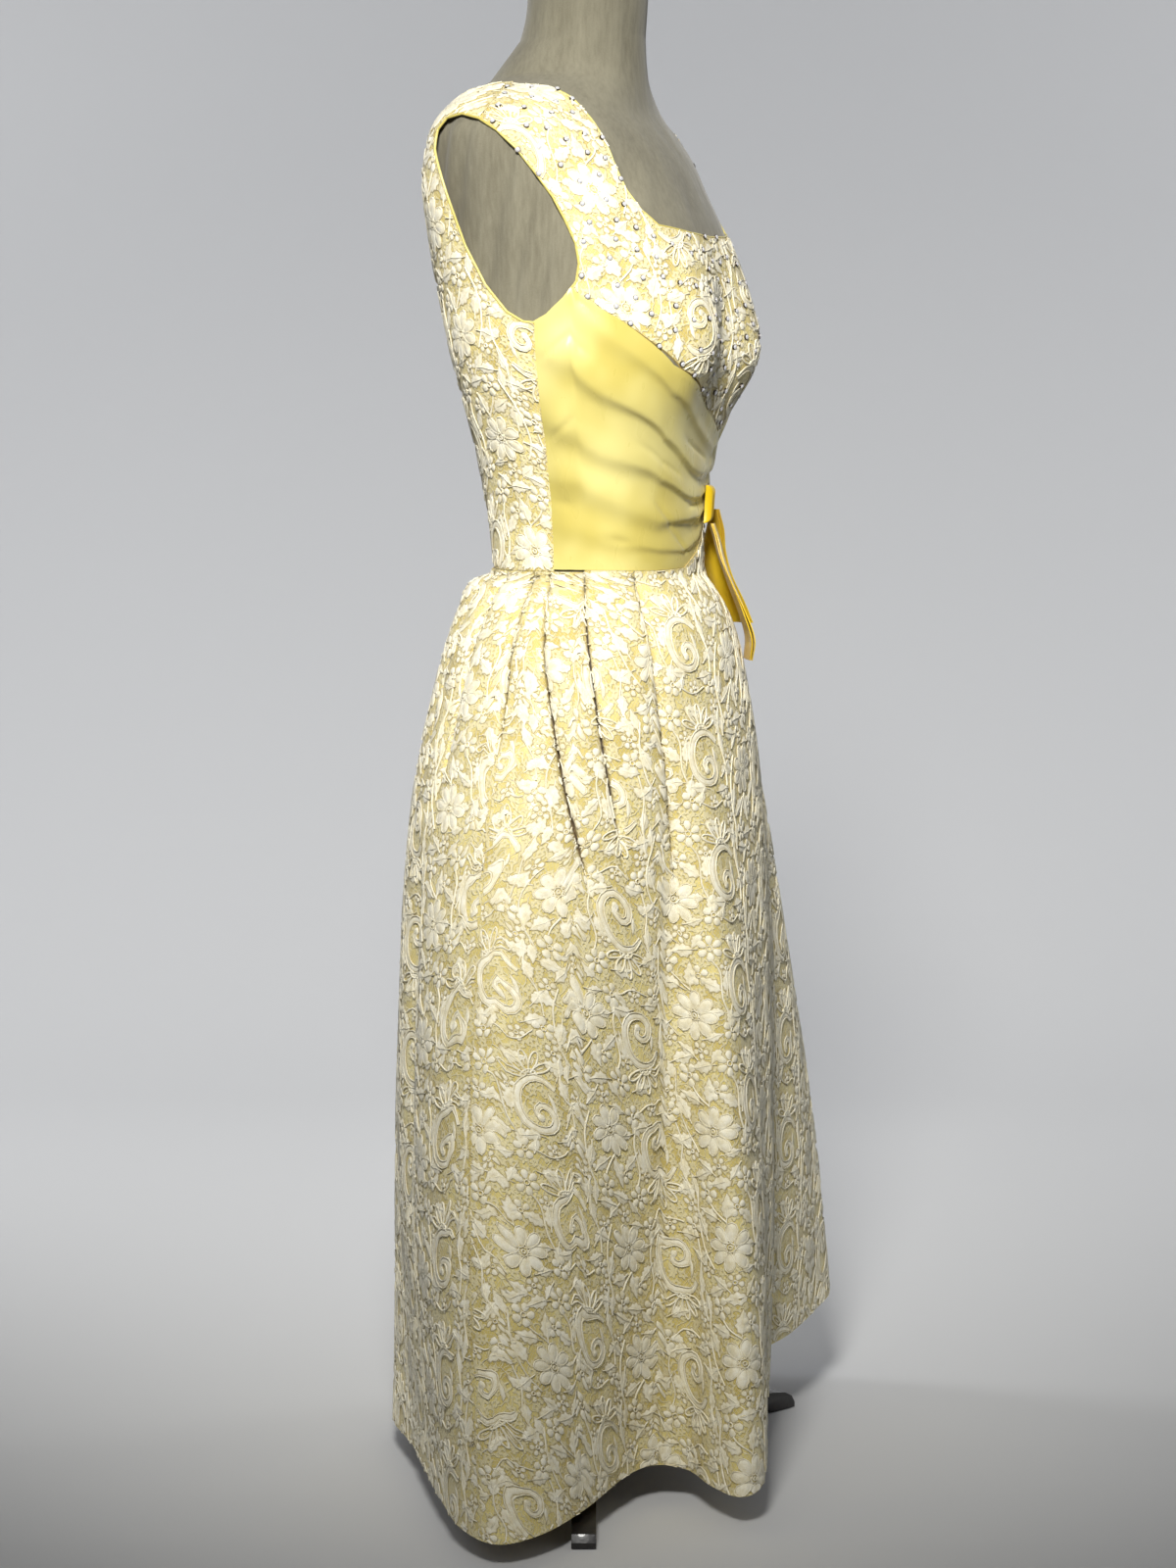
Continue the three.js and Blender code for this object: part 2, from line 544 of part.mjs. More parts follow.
function bowTail(rows) {
  const section = (row, shift) => {
    const [c, s] = [Math.cos(rad(row.turn)), Math.sin(rad(row.turn))];
    const points = TAIL_SECTION.map(([u, v]) => [u * row.width, v * TAIL_FOLD]);
    return points.map(([u, v], i) => {
      const [a, b] = [points[Math.max(i - 1, 0)], points[Math.min(i + 1, points.length - 1)]];
      const long = Math.hypot(b[0] - a[0], b[1] - a[1]);
      const [m, n] = [u + (b[1] - a[1]) / long * shift, v - (b[0] - a[0]) / long * shift];
      return new THREE.Vector3(row.x + m * c - n * s, row.y + m * s + n * c, row.z);
    });
  };
  const wall = WALL * 0.42;
  return gridWall(rows.map((row) => section(row, -wall)), rows.map((row) => section(row, wall)));
}

function zipPull() {
  const grid = (lift) => ZIP_PULL.z.map((z) => [-1, 1].map((u) => {
    const p = torsoPoint(180, z, 0, REST + WALL + 0.5 + lift);
    return new THREE.Vector3(-u * ZIP_PULL.half, p.y, p.z);
  }));
  return gridWall(grid(ZIP_PULL.thick), grid(0));
}

function standBase() {
  let base = Manifold.cylinder(POLE.hubTop - 8, POLE.hub, POLE.hub - 4, 24).translate([0, 0, 8]);
  for (const heading of LEG_HEADINGS) {
    const leg = sidePrism(LEG_SIDE, -LEG_WIDTH / 2, LEG_WIDTH / 2).rotate([0, 0, heading - 90]);
    base = base.add(leg);
  }
  return fromManifold(base.translate([0, POLE.y, 0]));
}

function standPole() {
  const [low, high] = [POLE.hubTop + 0.3, FORM_BOTTOM - 0.3];
  return fromManifold(Manifold.cylinder(high - low, POLE.radius, POLE.radius, 32).translate([0, POLE.y, low]));
}

function mesh(name, geometry, color, roughness, metalness = 0) {
  geometry.deleteAttribute('normal');
  geometry.deleteAttribute('uv');
  const clean = mergeVertices(geometry, 1e-4);
  clean.computeVertexNormals();
  const node = new THREE.Mesh(clean, new THREE.MeshStandardMaterial({ color, roughness, metalness }));
  node.name = name;
  return node;
}

const LACE = 0xf3ecd2;
const SATIN = 0xe6d791;
const GOLD = 0xb08a24;
const JERSEY = 0xa5a296;
const IRON = 0x1c1a19;

const gown = new THREE.Group();
gown.name = 'lace_gown_on_dress_form';
const shell = bodiceShell();
const [right, left, back] = [seamPlace(96), seamPlace(-96), seamPlace(180)];
gown.add(
  mesh('form_torso', formBody(), JERSEY, 0.9),
  mesh('bodice_front', bodiceFront(shell), LACE, 0.8),
  mesh('bodice_back_right', bodiceBack(shell, -1), LACE, 0.8),
  mesh('bodice_back_left', bodiceBack(shell, 1), LACE, 0.8),
  mesh('midriff_drape_right', midriff(-1), SATIN, 0.4),
  mesh('midriff_drape_left', midriff(1), SATIN, 0.4),
  mesh('skirt_front', skirtFront(left - 1, right), LACE, 0.8),
  mesh('skirt_back_right', skirtPanel(right, back), LACE, 0.8),
  mesh('skirt_back_left', skirtPanel(back, left), LACE, 0.8),
  mesh('bow_knot', bowKnot(), GOLD, 0.4),
  mesh('bow_tail_front', bowTail(TAIL_FRONT), GOLD, 0.4),
  mesh('bow_tail_side', bowTail(TAIL_SIDE), GOLD, 0.4),
  mesh('zip_pull', zipPull(), 0xb9b4a4, 0.35, 1),
  mesh('stand_pole', standPole(), IRON, 0.5, 0.6),
  mesh('stand_base', standBase(), IRON, 0.5, 0.6),
);
// The row's origin is on the floor under the middle of the whole part
const middle = new THREE.Box3().setFromObject(gown, true).getCenter(new THREE.Vector3());
gown.position.set(-middle.x, -middle.y, 0);
export default gown;
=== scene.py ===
# %% [markdown]
# # A lace evening gown on a dress form
# This lesson dresses a imported CAD part, so that its plain solids look like satin, lace and jersey.
# The part fixes every size. What is made here lies on it: cloth walls a little finer than the
# solids, the lace, the rhinestones and the piping along the edges.

# %% Start from the imported part
import math
import bpy
import bmesh
import numpy as np
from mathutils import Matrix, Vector
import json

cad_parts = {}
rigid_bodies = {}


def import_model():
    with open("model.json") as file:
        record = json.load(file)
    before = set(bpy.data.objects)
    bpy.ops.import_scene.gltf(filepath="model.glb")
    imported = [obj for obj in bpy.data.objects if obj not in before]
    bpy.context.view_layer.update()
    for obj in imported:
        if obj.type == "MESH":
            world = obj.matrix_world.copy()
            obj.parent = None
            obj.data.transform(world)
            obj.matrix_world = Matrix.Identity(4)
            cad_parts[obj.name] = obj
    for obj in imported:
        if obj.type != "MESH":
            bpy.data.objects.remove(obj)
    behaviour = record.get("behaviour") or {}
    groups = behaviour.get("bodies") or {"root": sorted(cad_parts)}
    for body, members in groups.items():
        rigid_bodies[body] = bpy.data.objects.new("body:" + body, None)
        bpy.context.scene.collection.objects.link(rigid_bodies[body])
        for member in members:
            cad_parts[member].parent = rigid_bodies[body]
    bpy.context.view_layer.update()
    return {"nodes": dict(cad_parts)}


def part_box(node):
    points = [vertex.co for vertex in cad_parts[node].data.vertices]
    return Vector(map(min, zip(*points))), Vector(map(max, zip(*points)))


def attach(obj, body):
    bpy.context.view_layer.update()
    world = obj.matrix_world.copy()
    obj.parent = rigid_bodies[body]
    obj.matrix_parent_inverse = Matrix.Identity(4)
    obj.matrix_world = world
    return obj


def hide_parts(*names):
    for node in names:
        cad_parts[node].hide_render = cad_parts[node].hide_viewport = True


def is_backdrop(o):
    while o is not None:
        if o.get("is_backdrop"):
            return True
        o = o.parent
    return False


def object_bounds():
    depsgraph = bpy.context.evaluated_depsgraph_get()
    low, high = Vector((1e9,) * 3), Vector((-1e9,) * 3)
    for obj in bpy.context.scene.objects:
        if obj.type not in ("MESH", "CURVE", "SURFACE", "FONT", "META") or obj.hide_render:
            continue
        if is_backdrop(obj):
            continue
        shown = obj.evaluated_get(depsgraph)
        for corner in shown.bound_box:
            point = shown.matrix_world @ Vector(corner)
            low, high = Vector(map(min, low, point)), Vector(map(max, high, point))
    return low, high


for leftover in list(bpy.data.objects):
    bpy.data.objects.remove(leftover)
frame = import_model()
low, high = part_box("stand_pole")
AXIS = np.array([(low.x + high.x) / 2 * 1000, (low.y + high.y) / 2 * 1000 - 15, 0.0])
print("the gown's axis in the row frame, in mm:", AXIS.round(2))

# %% [markdown]
# ## Camera, room and light
# The camera stands three metres away at the wearer's right, a little to the front, and looks
# slightly down. A long lens keeps the gown's sides nearly upright. The room is one sheet that
# curves from the floor into the wall, so no line crosses the picture.

# %% Camera and room
TURN = math.radians(22)
AWAY = Vector((math.cos(TURN), math.sin(TURN), 0))
DISTANCE, EYE, PITCH, YAW, LENS = 3.3, 1.0, math.radians(6.0), math.radians(0.19), 80.8
RIGHT = Vector((math.sin(TURN), -math.cos(TURN), 0))
DAYLIGHT, SOFT_WARM, WALL_WHITE = (0.96, 0.98, 1), (1, 0.985, 0.945), (0.98, 0.985, 1)
SKY_COLOUR, SKY_STRENGTH = (0.93, 0.95, 1, 1), 0.165


def metres(points):
    """Gown millimetres to row-frame metres."""
    return (np.asarray(points, float) + AXIS) / 1000


def link(obj):
    bpy.context.scene.collection.objects.link(obj)
    return obj


def add_camera():
    data = bpy.data.cameras.new("camera")
    data.lens, data.sensor_width = LENS, 36
    camera = link(bpy.data.objects.new("camera", data))
    camera.location = Vector(metres([0, 0, 0])) - AWAY * DISTANCE + Vector((0, 0, EYE))
    flat = math.cos(PITCH)
    look = Vector((math.cos(TURN + YAW) * flat, math.sin(TURN + YAW) * flat, -math.sin(PITCH)))
    camera.rotation_mode = "QUATERNION"
    camera.rotation_quaternion = look.to_track_quat("-Z", "Y")
    data.clip_start, data.clip_end = 0.05, 60
    bpy.context.scene.camera = camera
    return camera


def add_room():
    """One sheet: the floor, a bend and the wall, a millimetre below the stand's feet."""
    side, back, bend, top, ahead, steps = 9.0, 3.4, 1.6, 7.0, -7.0, 12
    profile = [(ahead, 0.0), (0.0, 0.0), (back - bend, 0.0)]
    for i in range(1, steps + 1):
        a = math.pi / 2 * i / steps
        profile.append((back - bend + bend * math.sin(a), bend - bend * math.cos(a)))
    profile.append((back, top))
    across = Vector((-AWAY.y, AWAY.x, 0))
    verts = [AWAY * d + across * s + Vector((0, 0, z - 0.001))
             for d, z in profile for s in (-side, side)]
    faces = [(2 * i, 2 * i + 2, 2 * i + 3, 2 * i + 1) for i in range(len(profile) - 1)]
    mesh = bpy.data.meshes.new("room")
    mesh.from_pydata([tuple(v) for v in verts], [], faces)
    mesh.polygons.foreach_set("use_smooth", [True] * len(faces))
    return link(bpy.data.objects.new("room", mesh))


def room_place(away, right, height):
    """A place in the room: metres away from the camera, to the right and up, from the gown's foot."""
    return AWAY * away + RIGHT * right + Vector((0, 0, height))


def add_lamp(name, place, target, size, watts, colour, spread=180):
    data = bpy.data.lights.new(name, "AREA")
    data.shape, data.size, data.energy, data.color = "DISK", size, watts, colour
    data.spread = math.radians(spread)
    lamp = link(bpy.data.objects.new(name, data))
    lamp.location = place
    lamp.rotation_mode = "QUATERNION"
    lamp.rotation_quaternion = (Vector(target) - Vector(place)).to_track_quat("-Z", "Y")


def add_world():
    world = bpy.data.worlds.new("world")
    world.use_nodes = True
    sky = world.node_tree.nodes["Background"]
    sky.inputs["Color"].default_value, sky.inputs["Strength"].default_value = SKY_COLOUR, SKY_STRENGTH
    bpy.context.scene.world = world


camera = add_camera()
room = add_room()
add_lamp("key", room_place(-2.2, -0.15, 2.2), room_place(0, 0, 0.9), 0.5, 7.6, SOFT_WARM, 48)
add_lamp("front", room_place(-0.6, 2.6, 1.9), room_place(0, 0, 0.9), 1.8, 1.5, DAYLIGHT)
add_lamp("wall", room_place(0.9, -2.0, 1.7), room_place(3.2, -0.6, 1.3), 2.0, 39, WALL_WHITE)
add_lamp("wall_right", room_place(1.2, 2.4, 1.8), room_place(3.4, 1.2, 1.3), 2.0, 30, WALL_WHITE)
add_world()
bpy.context.scene.view_settings.view_transform = "Standard"
print("camera at", [round(v, 3) for v in camera.location])

# %% [markdown]
# ## Writing shader maths
# Node trees get long, so a small class wraps an output socket and lets Python's own operators
# add the Math nodes. `Maths.node` adds any other node.


# %% Shader maths
class Maths:
    """A socket that + - * / and a few functions work on."""

    def __init__(self, tree, socket):
        self.tree, self.socket = tree, socket

    def node(self, kind, settings=None, inputs=None, out=0):
        made = self.tree.nodes.new(kind)
        for name, value in (settings or {}).items():
            setattr(made, name, value)
        for name, value in (inputs or {}).items():
            if isinstance(value, Maths):
                self.tree.links.new(value.socket, made.inputs[name])
            elif value is not None:
                made.inputs[name].default_value = value
        return Maths(self.tree, made.outputs[out])

    def _do(self, operation, *others):
        return self.node("ShaderNodeMath", {"operation": operation}, dict(enumerate([self, *others])))

    def __add__(self, other): return self._do("ADD", other)
    def __sub__(self, other): return self._do("SUBTRACT", other)
    def __mul__(self, other): return self._do("MULTIPLY", other)
    def __truediv__(self, other): return self._do("DIVIDE", other)
    def __radd__(self, other): return self + other
    def __rmul__(self, other): return self * other
    def __rsub__(self, other): return self * -1.0 + other
    def sine(self): return self._do("SINE")
    def size(self): return self._do("ABSOLUTE")
    def least(self, other): return self._do("MINIMUM", other)
    def most(self, other): return self._do("MAXIMUM", other)

    def parts(self):
        """The first two numbers of a vector."""
        first = self.node("ShaderNodeSeparateXYZ", {}, {"Vector": self})
        return first, Maths(self.tree, first.socket.node.outputs[1])

    def combine(self, x, y, z):
        return self.node("ShaderNodeCombineXYZ", {}, {"X": x, "Y": y, "Z": z})

    def between(self, low, high, to_low=0.0, to_high=1.0):
        return self.node("ShaderNodeMapRange", {"interpolation_type": "SMOOTHSTEP"},
                         {"Value": self, "From Min": low, "From Max": high,
                          "To Min": to_low, "To Max": to_high})

    def mix(self, low, high):
        """A colour between two others, this socket being the factor."""
        made = self.node("ShaderNodeMix", {"data_type": "RGBA"}, {"Factor": self}, out=2).socket.node
        for index, value in ((6, low), (7, high)):
            if isinstance(value, Maths):
                self.tree.links.new(value.socket, made.inputs[index])
            else:
                made.inputs[index].default_value = (*value, 1)
        return Maths(self.tree, made.outputs[2])


class Finish:
    """A material with one Principled shader. place is the object coordinates, to begin the maths with."""

    def __init__(self, name, colour, roughness, metallic=0.0, specular=0.5, sheen=0.0, coat=0.0):
        self.material = bpy.data.materials.new(name)
        self.material.use_nodes = True
        self.tree = self.material.node_tree
        self.shader = self.tree.nodes["Principled BSDF"]
        self.set("Base Color", (*colour, 1))
        for socket, value in (("Roughness", roughness), ("Metallic", metallic), ("Coat Weight", coat),
                              ("Specular IOR Level", specular), ("Sheen Weight", sheen)):
            self.set(socket, value)
        self.material.diffuse_color = (*colour, 1)
        self.place = Maths(self.tree, self.tree.nodes.new("ShaderNodeTexCoord").outputs["Object"])

    def set(self, socket, value):
        if isinstance(value, Maths):
            self.tree.links.new(value.socket, self.shader.inputs[socket])
        else:
            self.shader.inputs[socket].default_value = value

    def noise(self, scale, detail=2.0, stretch=(1, 1, 1)):
        """Soft blotches, scale of them to a metre; a small number in stretch draws them out."""
        place = self.place.node("ShaderNodeVectorMath", {"operation": "MULTIPLY"},
                                {0: self.place, 1: stretch})
        return place.node("ShaderNodeTexNoise", {}, {"Vector": place, "Scale": scale, "Detail": detail,
                                                     "Roughness": 0.5})

    def cloth_lines(self):
        """The cloth's own coordinates in millimetres, across and down."""
        across, down = self.place.node("ShaderNodeUVMap", {"uv_map": "cloth"}).parts()
        return across * 1000.0, down * 1000.0

    def folds(self):
        """How far a point is in a pressed pleat, 0 to 1."""
        return self.place.node("ShaderNodeUVMap", {"uv_map": "folds"}).parts()[0]

    def bump(self, height, distance, strength=1.0):
        self.set("Normal", height.node("ShaderNodeBump", {}, {"Height": height, "Distance": distance,
                                                              "Strength": strength}))


# %% [markdown]
# ## The finishes
# Satin is a smooth yarn that floats on one face, so it is half shiny and its colour is a little
# cloudy. The ground under the lace is that satin seen through a fine diagonal net, with small
# blossoms and winding vines worked into the net. They are too flat to be worth a mesh, so the
# shader draws them, and paints shade on the net where the skirt is pressed into pleats. The corded
# lace on top is matt cotton in real relief, with painted shade at its edges, where the cord meets the net.

# %% Finishes
def jersey_finish():
    f = Finish("jersey", (0.36, 0.345, 0.29), 0.92, sheen=0.2, specular=0.2)
    slub = f.noise(260, 3, (1, 1, 0.16))
    patch = f.noise(9, 2, (1, 1, 0.5))
    weave = (f.noise(1500, 1, (1, 1, 0.3)) + f.noise(1500, 1, (0.3, 0.3, 1))) * 0.5
    # Vertical runs bump the jersey into soft folds; their share of the colour is painted shade along those
    # folds
    runs_and_shade = f.noise(46, 1, (1, 1, 0.08))
    shade = slub * 0.3 + patch * 0.35 + weave * 0.15 + runs_and_shade * 0.2
    f.set("Base Color", shade.between(0.25, 0.7).mix((0.13, 0.117, 0.08), (0.25, 0.232, 0.168)))
    f.bump(runs_and_shade * 0.8 + slub * 0.1 + weave * 0.1, 0.003, 0.6)
    return f.material


def satin_finish(name, deep, bright, roughness):
    f = Finish(name, bright, roughness, specular=0.45, sheen=0.12)
    cloud = f.noise(14, 2)
    f.set("Base Color", cloud.between(0.3, 0.75).mix(deep, bright))
    f.set("Roughness", f.noise(60, 2, (1, 1, 0.4)).between(0.2, 0.8, roughness - 0.06, roughness + 0.08))
    f.bump(f.noise(2600, 1, (1, 1, 0.12)) * 0.4 + f.noise(30, 2) * 0.6, 0.0006, 0.35)
    return f.material


def net_finish():
    f = Finish("net_over_satin", (0.66, 0.56, 0.22), 0.42, specular=0.4, sheen=0.15)
    mesh, lean, blossoms_apart, petals = 3.6, 0.8, 11, 5.0
    satin_deep, satin_bright = (0.6, 0.47, 0.13), (0.84, 0.71, 0.27)
    thread_colour, filling_colour = (0.86, 0.8, 0.58), (0.84, 0.77, 0.52)
    # Painted shade for the pressed pleats: a dark brown laid on the net in the grooves
    pleat_painted_shade = (0.16, 0.095, 0.025)
    across, down = f.cloth_lines()
    # The net: the nearer of two sets of slanting threads
    cell = 3.14159 / mesh
    one = ((across + down * lean) * cell).sine().size()
    two = ((across - down * lean) * cell).sine().size()
    thread = one.least(two).between(0.04, 0.26, 1.0, 0.0)
    # Small blossoms: round the middle of each cell a rim that waves once for each petal
    flat = across.combine(across, down, 0.0)
    cells = {"Vector": flat, "Scale": 1 / blossoms_apart, "Randomness": 0.75}
    middle = flat.node("ShaderNodeTexVoronoi", {"voronoi_dimensions": "2D"}, cells, out=2)
    away = flat.node("ShaderNodeVectorMath", {"operation": "SUBTRACT"}, {0: flat, 1: middle})
    far = away.node("ShaderNodeVectorMath", {"operation": "LENGTH"}, {0: away}, out=1)
    x, y = away.parts()
    turn = y.node("ShaderNodeMath", {"operation": "ARCTAN2"}, {0: y, 1: x}) * petals
    blossom = far - (turn + across * 0.02).sine() * 0.9
    blossom = blossom.between(3.6, 4.5, 1.0, 0.0) * far.between(0.9, 1.6, 0.2, 1.0)
    # Vines: the thin lines where a noise passes its middle value
    vine = (f.noise(95, 1) - 0.5).size().between(0.022, 0.045, 1.0, 0.0)
    filling = blossom.most(vine)
    ground = f.noise(26, 2).between(0.3, 0.7).mix(satin_deep, satin_bright)
    colour = (thread * 0.7).mix(ground, thread_colour)
    colour = (filling * 0.62).mix(colour, filling_colour)
    # The pleat mask mixes the net towards dark brown: painted shade in the skirt's pressed grooves
    f.set("Base Color", f.folds().between(0.15, 0.75).mix(colour, pleat_painted_shade))
    f.set("Roughness", thread.most(filling).between(0, 1, 0.3, 0.8))
    f.bump(filling + thread * 0.35, 0.0011, 0.8)
    return f.material


def lace_finish():
    f = Finish("lace_cotton", (0.87, 0.82, 0.67), 0.82, specular=0.25, sheen=0.25)
    weave = (f.noise(1900, 1, (1, 1, 0.35)) + f.noise(1900, 1, (0.35, 0.35, 1))) * 0.5
    shade = f.noise(120, 2) * 0.5 + weave * 0.5
    cotton = shade.between(0.3, 0.66).mix((0.76, 0.68, 0.44), (0.96, 0.92, 0.76))
    relief = f.place.node("ShaderNodeAttribute", {"attribute_name": "relief"}, {}, out=2)
    # Low on the cord, where it meets the net, the cotton is mixed towards dark brown: painted shade at the
    # lace's edges
    painted_edge_shade = (0.36, 0.27, 0.08)
    f.set("Base Color", relief.between(0.0, 0.5).mix(painted_edge_shade, cotton))
    f.bump(weave, 0.0006, 0.7)
    return f.material


def plain_finishes():
    room_paint = Finish("room_paint", (0.68, 0.685, 0.69), 0.9, specular=0.1)
    iron = Finish("stand_paint", (0.012, 0.01, 0.009), 0.35, specular=0.5, coat=0.2)
    iron.bump(iron.noise(240, 2), 0.0006, 0.3)
    silver = Finish("stone_cup", (0.12, 0.1, 0.08), 0.35, metallic=1.0)
    stone = Finish("cut_glass", (0.9, 0.9, 0.94), 0.08, specular=1.0, coat=1.0, metallic=0.35)
    zip_metal = Finish("zip_metal", (0.5, 0.48, 0.42), 0.35, metallic=1.0)
    zip_metal.set("Roughness", zip_metal.noise(300, 2).between(0.3, 0.7, 0.25, 0.5))
    return [f.material for f in (room_paint, iron, silver, stone, zip_metal)]


JERSEY, NET, LACE = jersey_finish(), net_finish(), lace_finish()
SATIN = satin_finish("satin", (0.59, 0.49, 0.12), (0.77, 0.68, 0.25), 0.3)
GOLD = satin_finish("gold_satin", (0.58, 0.36, 0.003), (0.8, 0.56, 0.01), 0.34)
ROOM_PAINT, IRON, SILVER, STONE, ZIP_METAL = plain_finishes()
room.data.materials.append(ROOM_PAINT)
room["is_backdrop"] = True
print("finishes made:", len(bpy.data.materials))

# %% [markdown]
# ## The same curves as the solids
# The solids were drawn from short tables: sections of the form, the hem, the edges of the
# bodice. The tables are repeated here, and numpy works out thousands of points at once, so the
# visible cloth follows the same surface in much smaller steps.

# %% Tables
WALL, REST, SEAM = 1.6, 0.35, 0.15
WAIST_Z, CHEST_Z, RIDGE_Y, KNOT_X, WAIST_TURN, EASE = 858, 1124, 48, 48, 844, 2.2
# height, half width, line of the widest points, reach forwards and backwards, squareness
FORM = np.array([
    [680, 148, 4, 104, 118, 2.1], [740, 143, 2, 100, 114, 2.1], [800, 124, 0, 93, 102, 2.2],
    [838, 112, 0, 88, 93, 2.3], [860, 109, 0, 87, 90, 2.3], [900, 111, 0, 87, 94, 2.3],
    [935, 117, 0, 89, 100, 2.3], [968, 125, 0, 95, 105, 2.3], [1005, 137, 2, 104, 112, 2.4],
    [1035, 146, 4, 111, 119, 2.4], [1062, 150, 6, 115, 126, 2.4], [1097, 152, 12, 115, 133, 2.4],
    [1134, 154, 20, 113, 139, 2.4], [1171, 157, 28, 104, 143, 2.3], [1208, 160, 38, 88, 147, 2.2],
    [1234, 161, 44, 75, 143, 2.2], [1256, 157, 48, 60, 137, 2.2], [1274, 141, 50, 48, 129, 2.1],
    [1291, 106, 46, 44, 119, 2.1], [1307, 73, 32, 43, 101, 2], [1324, 61, 22, 42, 85, 2],
    [1343, 58, 16, 41, 75, 2], [1372, 56, 12, 43, 68, 2], [1410, 57, 11, 45, 68, 2]])
# The bodice's openings: the armhole seen from the side (y, z), the necklines from the front (x, z)
ARMHOLE = [(100, 1237), (91, 1214), (80, 1184), (68, 1150), (49, 1115), (28, 1091), (12, 1082),
           (2, 1081), (-11, 1088), (-27, 1103), (-37, 1117), (-39, 1133), (-36, 1151), (-27, 1171),
           (-16, 1192), (-1, 1213), (15, 1234), (34, 1251), (53, 1262), (72, 1267), (90, 1264),
           (99, 1254)]
FRONT_NECK = [(0, 1161), (44, 1163), (87, 1168), (99, 1181), (105, 1198), (107, 1225), (105, 1256),
              (101, 1280), (97, 1304)]
BACK_NECK = [(0, 1276), (40, 1279), (70, 1286), (97, 1304)]
# The satin midriff's edges (x, z), from the wearer's right to the left
MIDRIFF_TOP = [(-152, 1114), (-139, 1092), (-113, 1064), (-88, 1040), (-38, 1019), (5, 1002),
               (KNOT_X, 984), (72, 992), (100, 1022), (122, 1058), (139, 1092), (152, 1114)]
MIDRIFF_BOTTOM = [(-125, 860), (-60, 858), (-16, 859), (18, 873), (37, 889), (KNOT_X, 905), (57, 889),
                  (70, 873), (90, 859), (125, 860)]
# Draped folds: the lower edge (0 bottom, 1 top) at five places from the side seam to the bow,
# how far the fold stands out and its half widths above and below that edge
DRAPE_STEPS = [0, 0.15, 0.4, 0.7, 1]
DRAPES = [([0.92, 0.72, 0.68, 0.6, 0.6], 5, 0.1, 0.035), ([0.64, 0.48, 0.47, 0.43, 0.42], 5, 0.1, 0.035),
          ([0.4, 0.32, 0.26, 0.3, 0.25], 4.4, 0.08, 0.035), ([0.2, 0.15, 0.12, 0.12, 0.1], 2.4, 0.06, 0.035),
          ([1.02, 0.93, 0.9, 0.84, 0.8], 3, 0.06, 0.035)]
# The skirt without its lobes: height, reach to the side, forwards and backwards
FALL = np.array([
    [856, 113, 92, 100], [846, 120, 97, 118], [832, 133, 106, 126], [812, 148, 116, 132],
    [785, 164, 124, 140], [745, 178, 131, 149], [700, 191, 137, 159], [640, 208, 141, 167],
    [560, 225, 147, 175], [458, 246, 153, 182], [350, 266, 160, 190], [236, 284, 172, 192],
    [100, 300, 180, 186]])
# The hem, from the front round by the wearer's right (x, y, height)
HEM = np.array([
    [-20, -172, 60], [-70, -193, 48], [-128, -209, 34], [-151, -197, 30], [-130, -163, 30], [-98, -128, 32],
    [-107, -100, 36], [-142, -84, 34], [-231, -79, 28], [-300, -66, 24], [-334, -38, 22], [-310, 6, 24],
    [-252, 52, 28], [-190, 95, 31], [-127, 136, 31], [-87, 165, 29], [-40, 198, 26], [18, 218, 26],
    [76, 204, 30], [118, 160, 38], [150, 112, 46], [215, 96, 52], [294, 54, 66], [344, -26, 84],
    [344, -112, 96], [268, -128, 96], [180, -130, 92], [126, -122, 88], [84, -138, 82],
    [34, -158, 72]], float)
# Pleats: angle from the front at the top and the foot, heights of both, depth, half width in degrees
PLEATS = [(50.7, 42.3, 860, 558, 8, 4.6), (76, 60.7, 860, 581, 8, 4.6),
          (92.6, 68.3, 860, 550, 8, 4.6), (101, 96, 860, 690, 7, 4.4), (118, 116, 860, 650, 7, 4.4),
          (135, 134, 860, 600, 7, 4.4), (152, 150, 860, 640, 7, 4.4), (169, 168, 860, 600, 7, 4.4),
          (124, 118, 640, 250, 11, 6), (45, 48, 700, 120, 9, 5)]
# A pressed pleat: its depth in mm, its half widths behind and ahead of its middle in degrees, and
# how far off the grid of the skirt is still drawn towards it
PRESSED_DEEP, PLEAT_BEHIND, PLEAT_AHEAD, DRAW_REACH = 13, 0.45, 0.95, 2.2

# %% [markdown]
# ## Points on the form and on the skirt
# `form_field` is below zero inside the form. A point on it is found by halving the way along a
# ray again and again. The skirt hangs from the hips and is drawn out to the waved hem.


# %% Surface functions
def curve_through(places, values):
    """A smooth curve through a table's column."""
    places, values = np.asarray(places, float), np.asarray(values, float)
    order = np.argsort(places)
    places, values = places[order], values[order]
    n = np.arange(len(places))
    below, above = np.maximum(n - 1, 0), np.minimum(n + 1, len(places) - 1)
    slope = (values[above] - values[below]) / (places[above] - places[below])

    def at(place):
        place = np.clip(place, places[0], places[-1])
        i = np.clip(np.searchsorted(places, place, side="right") - 1, 0, len(places) - 2)
        h = places[i + 1] - places[i]
        t = (place - places[i]) / h
        return ((2 * t**3 - 3 * t**2 + 1) * values[i] + (t**3 - 2 * t**2 + t) * h * slope[i]
                + (3 * t**2 - 2 * t**3) * values[i + 1] + (t**3 - t**2) * h * slope[i + 1])
    return at


HALF, MID, FRONT, BACK, SQUARE = [curve_through(FORM[:, 0], FORM[:, k]) for k in range(1, 6)]
SIDE_FALL, FRONT_FALL, BACK_FALL = [curve_through(FALL[:, 0], FALL[:, k]) for k in range(1, 4)]


def bell(t): return np.exp(-t * t)


def smooth(t):
    u = np.clip(t, 0, 1)
    return u * u * (3 - 2 * u)


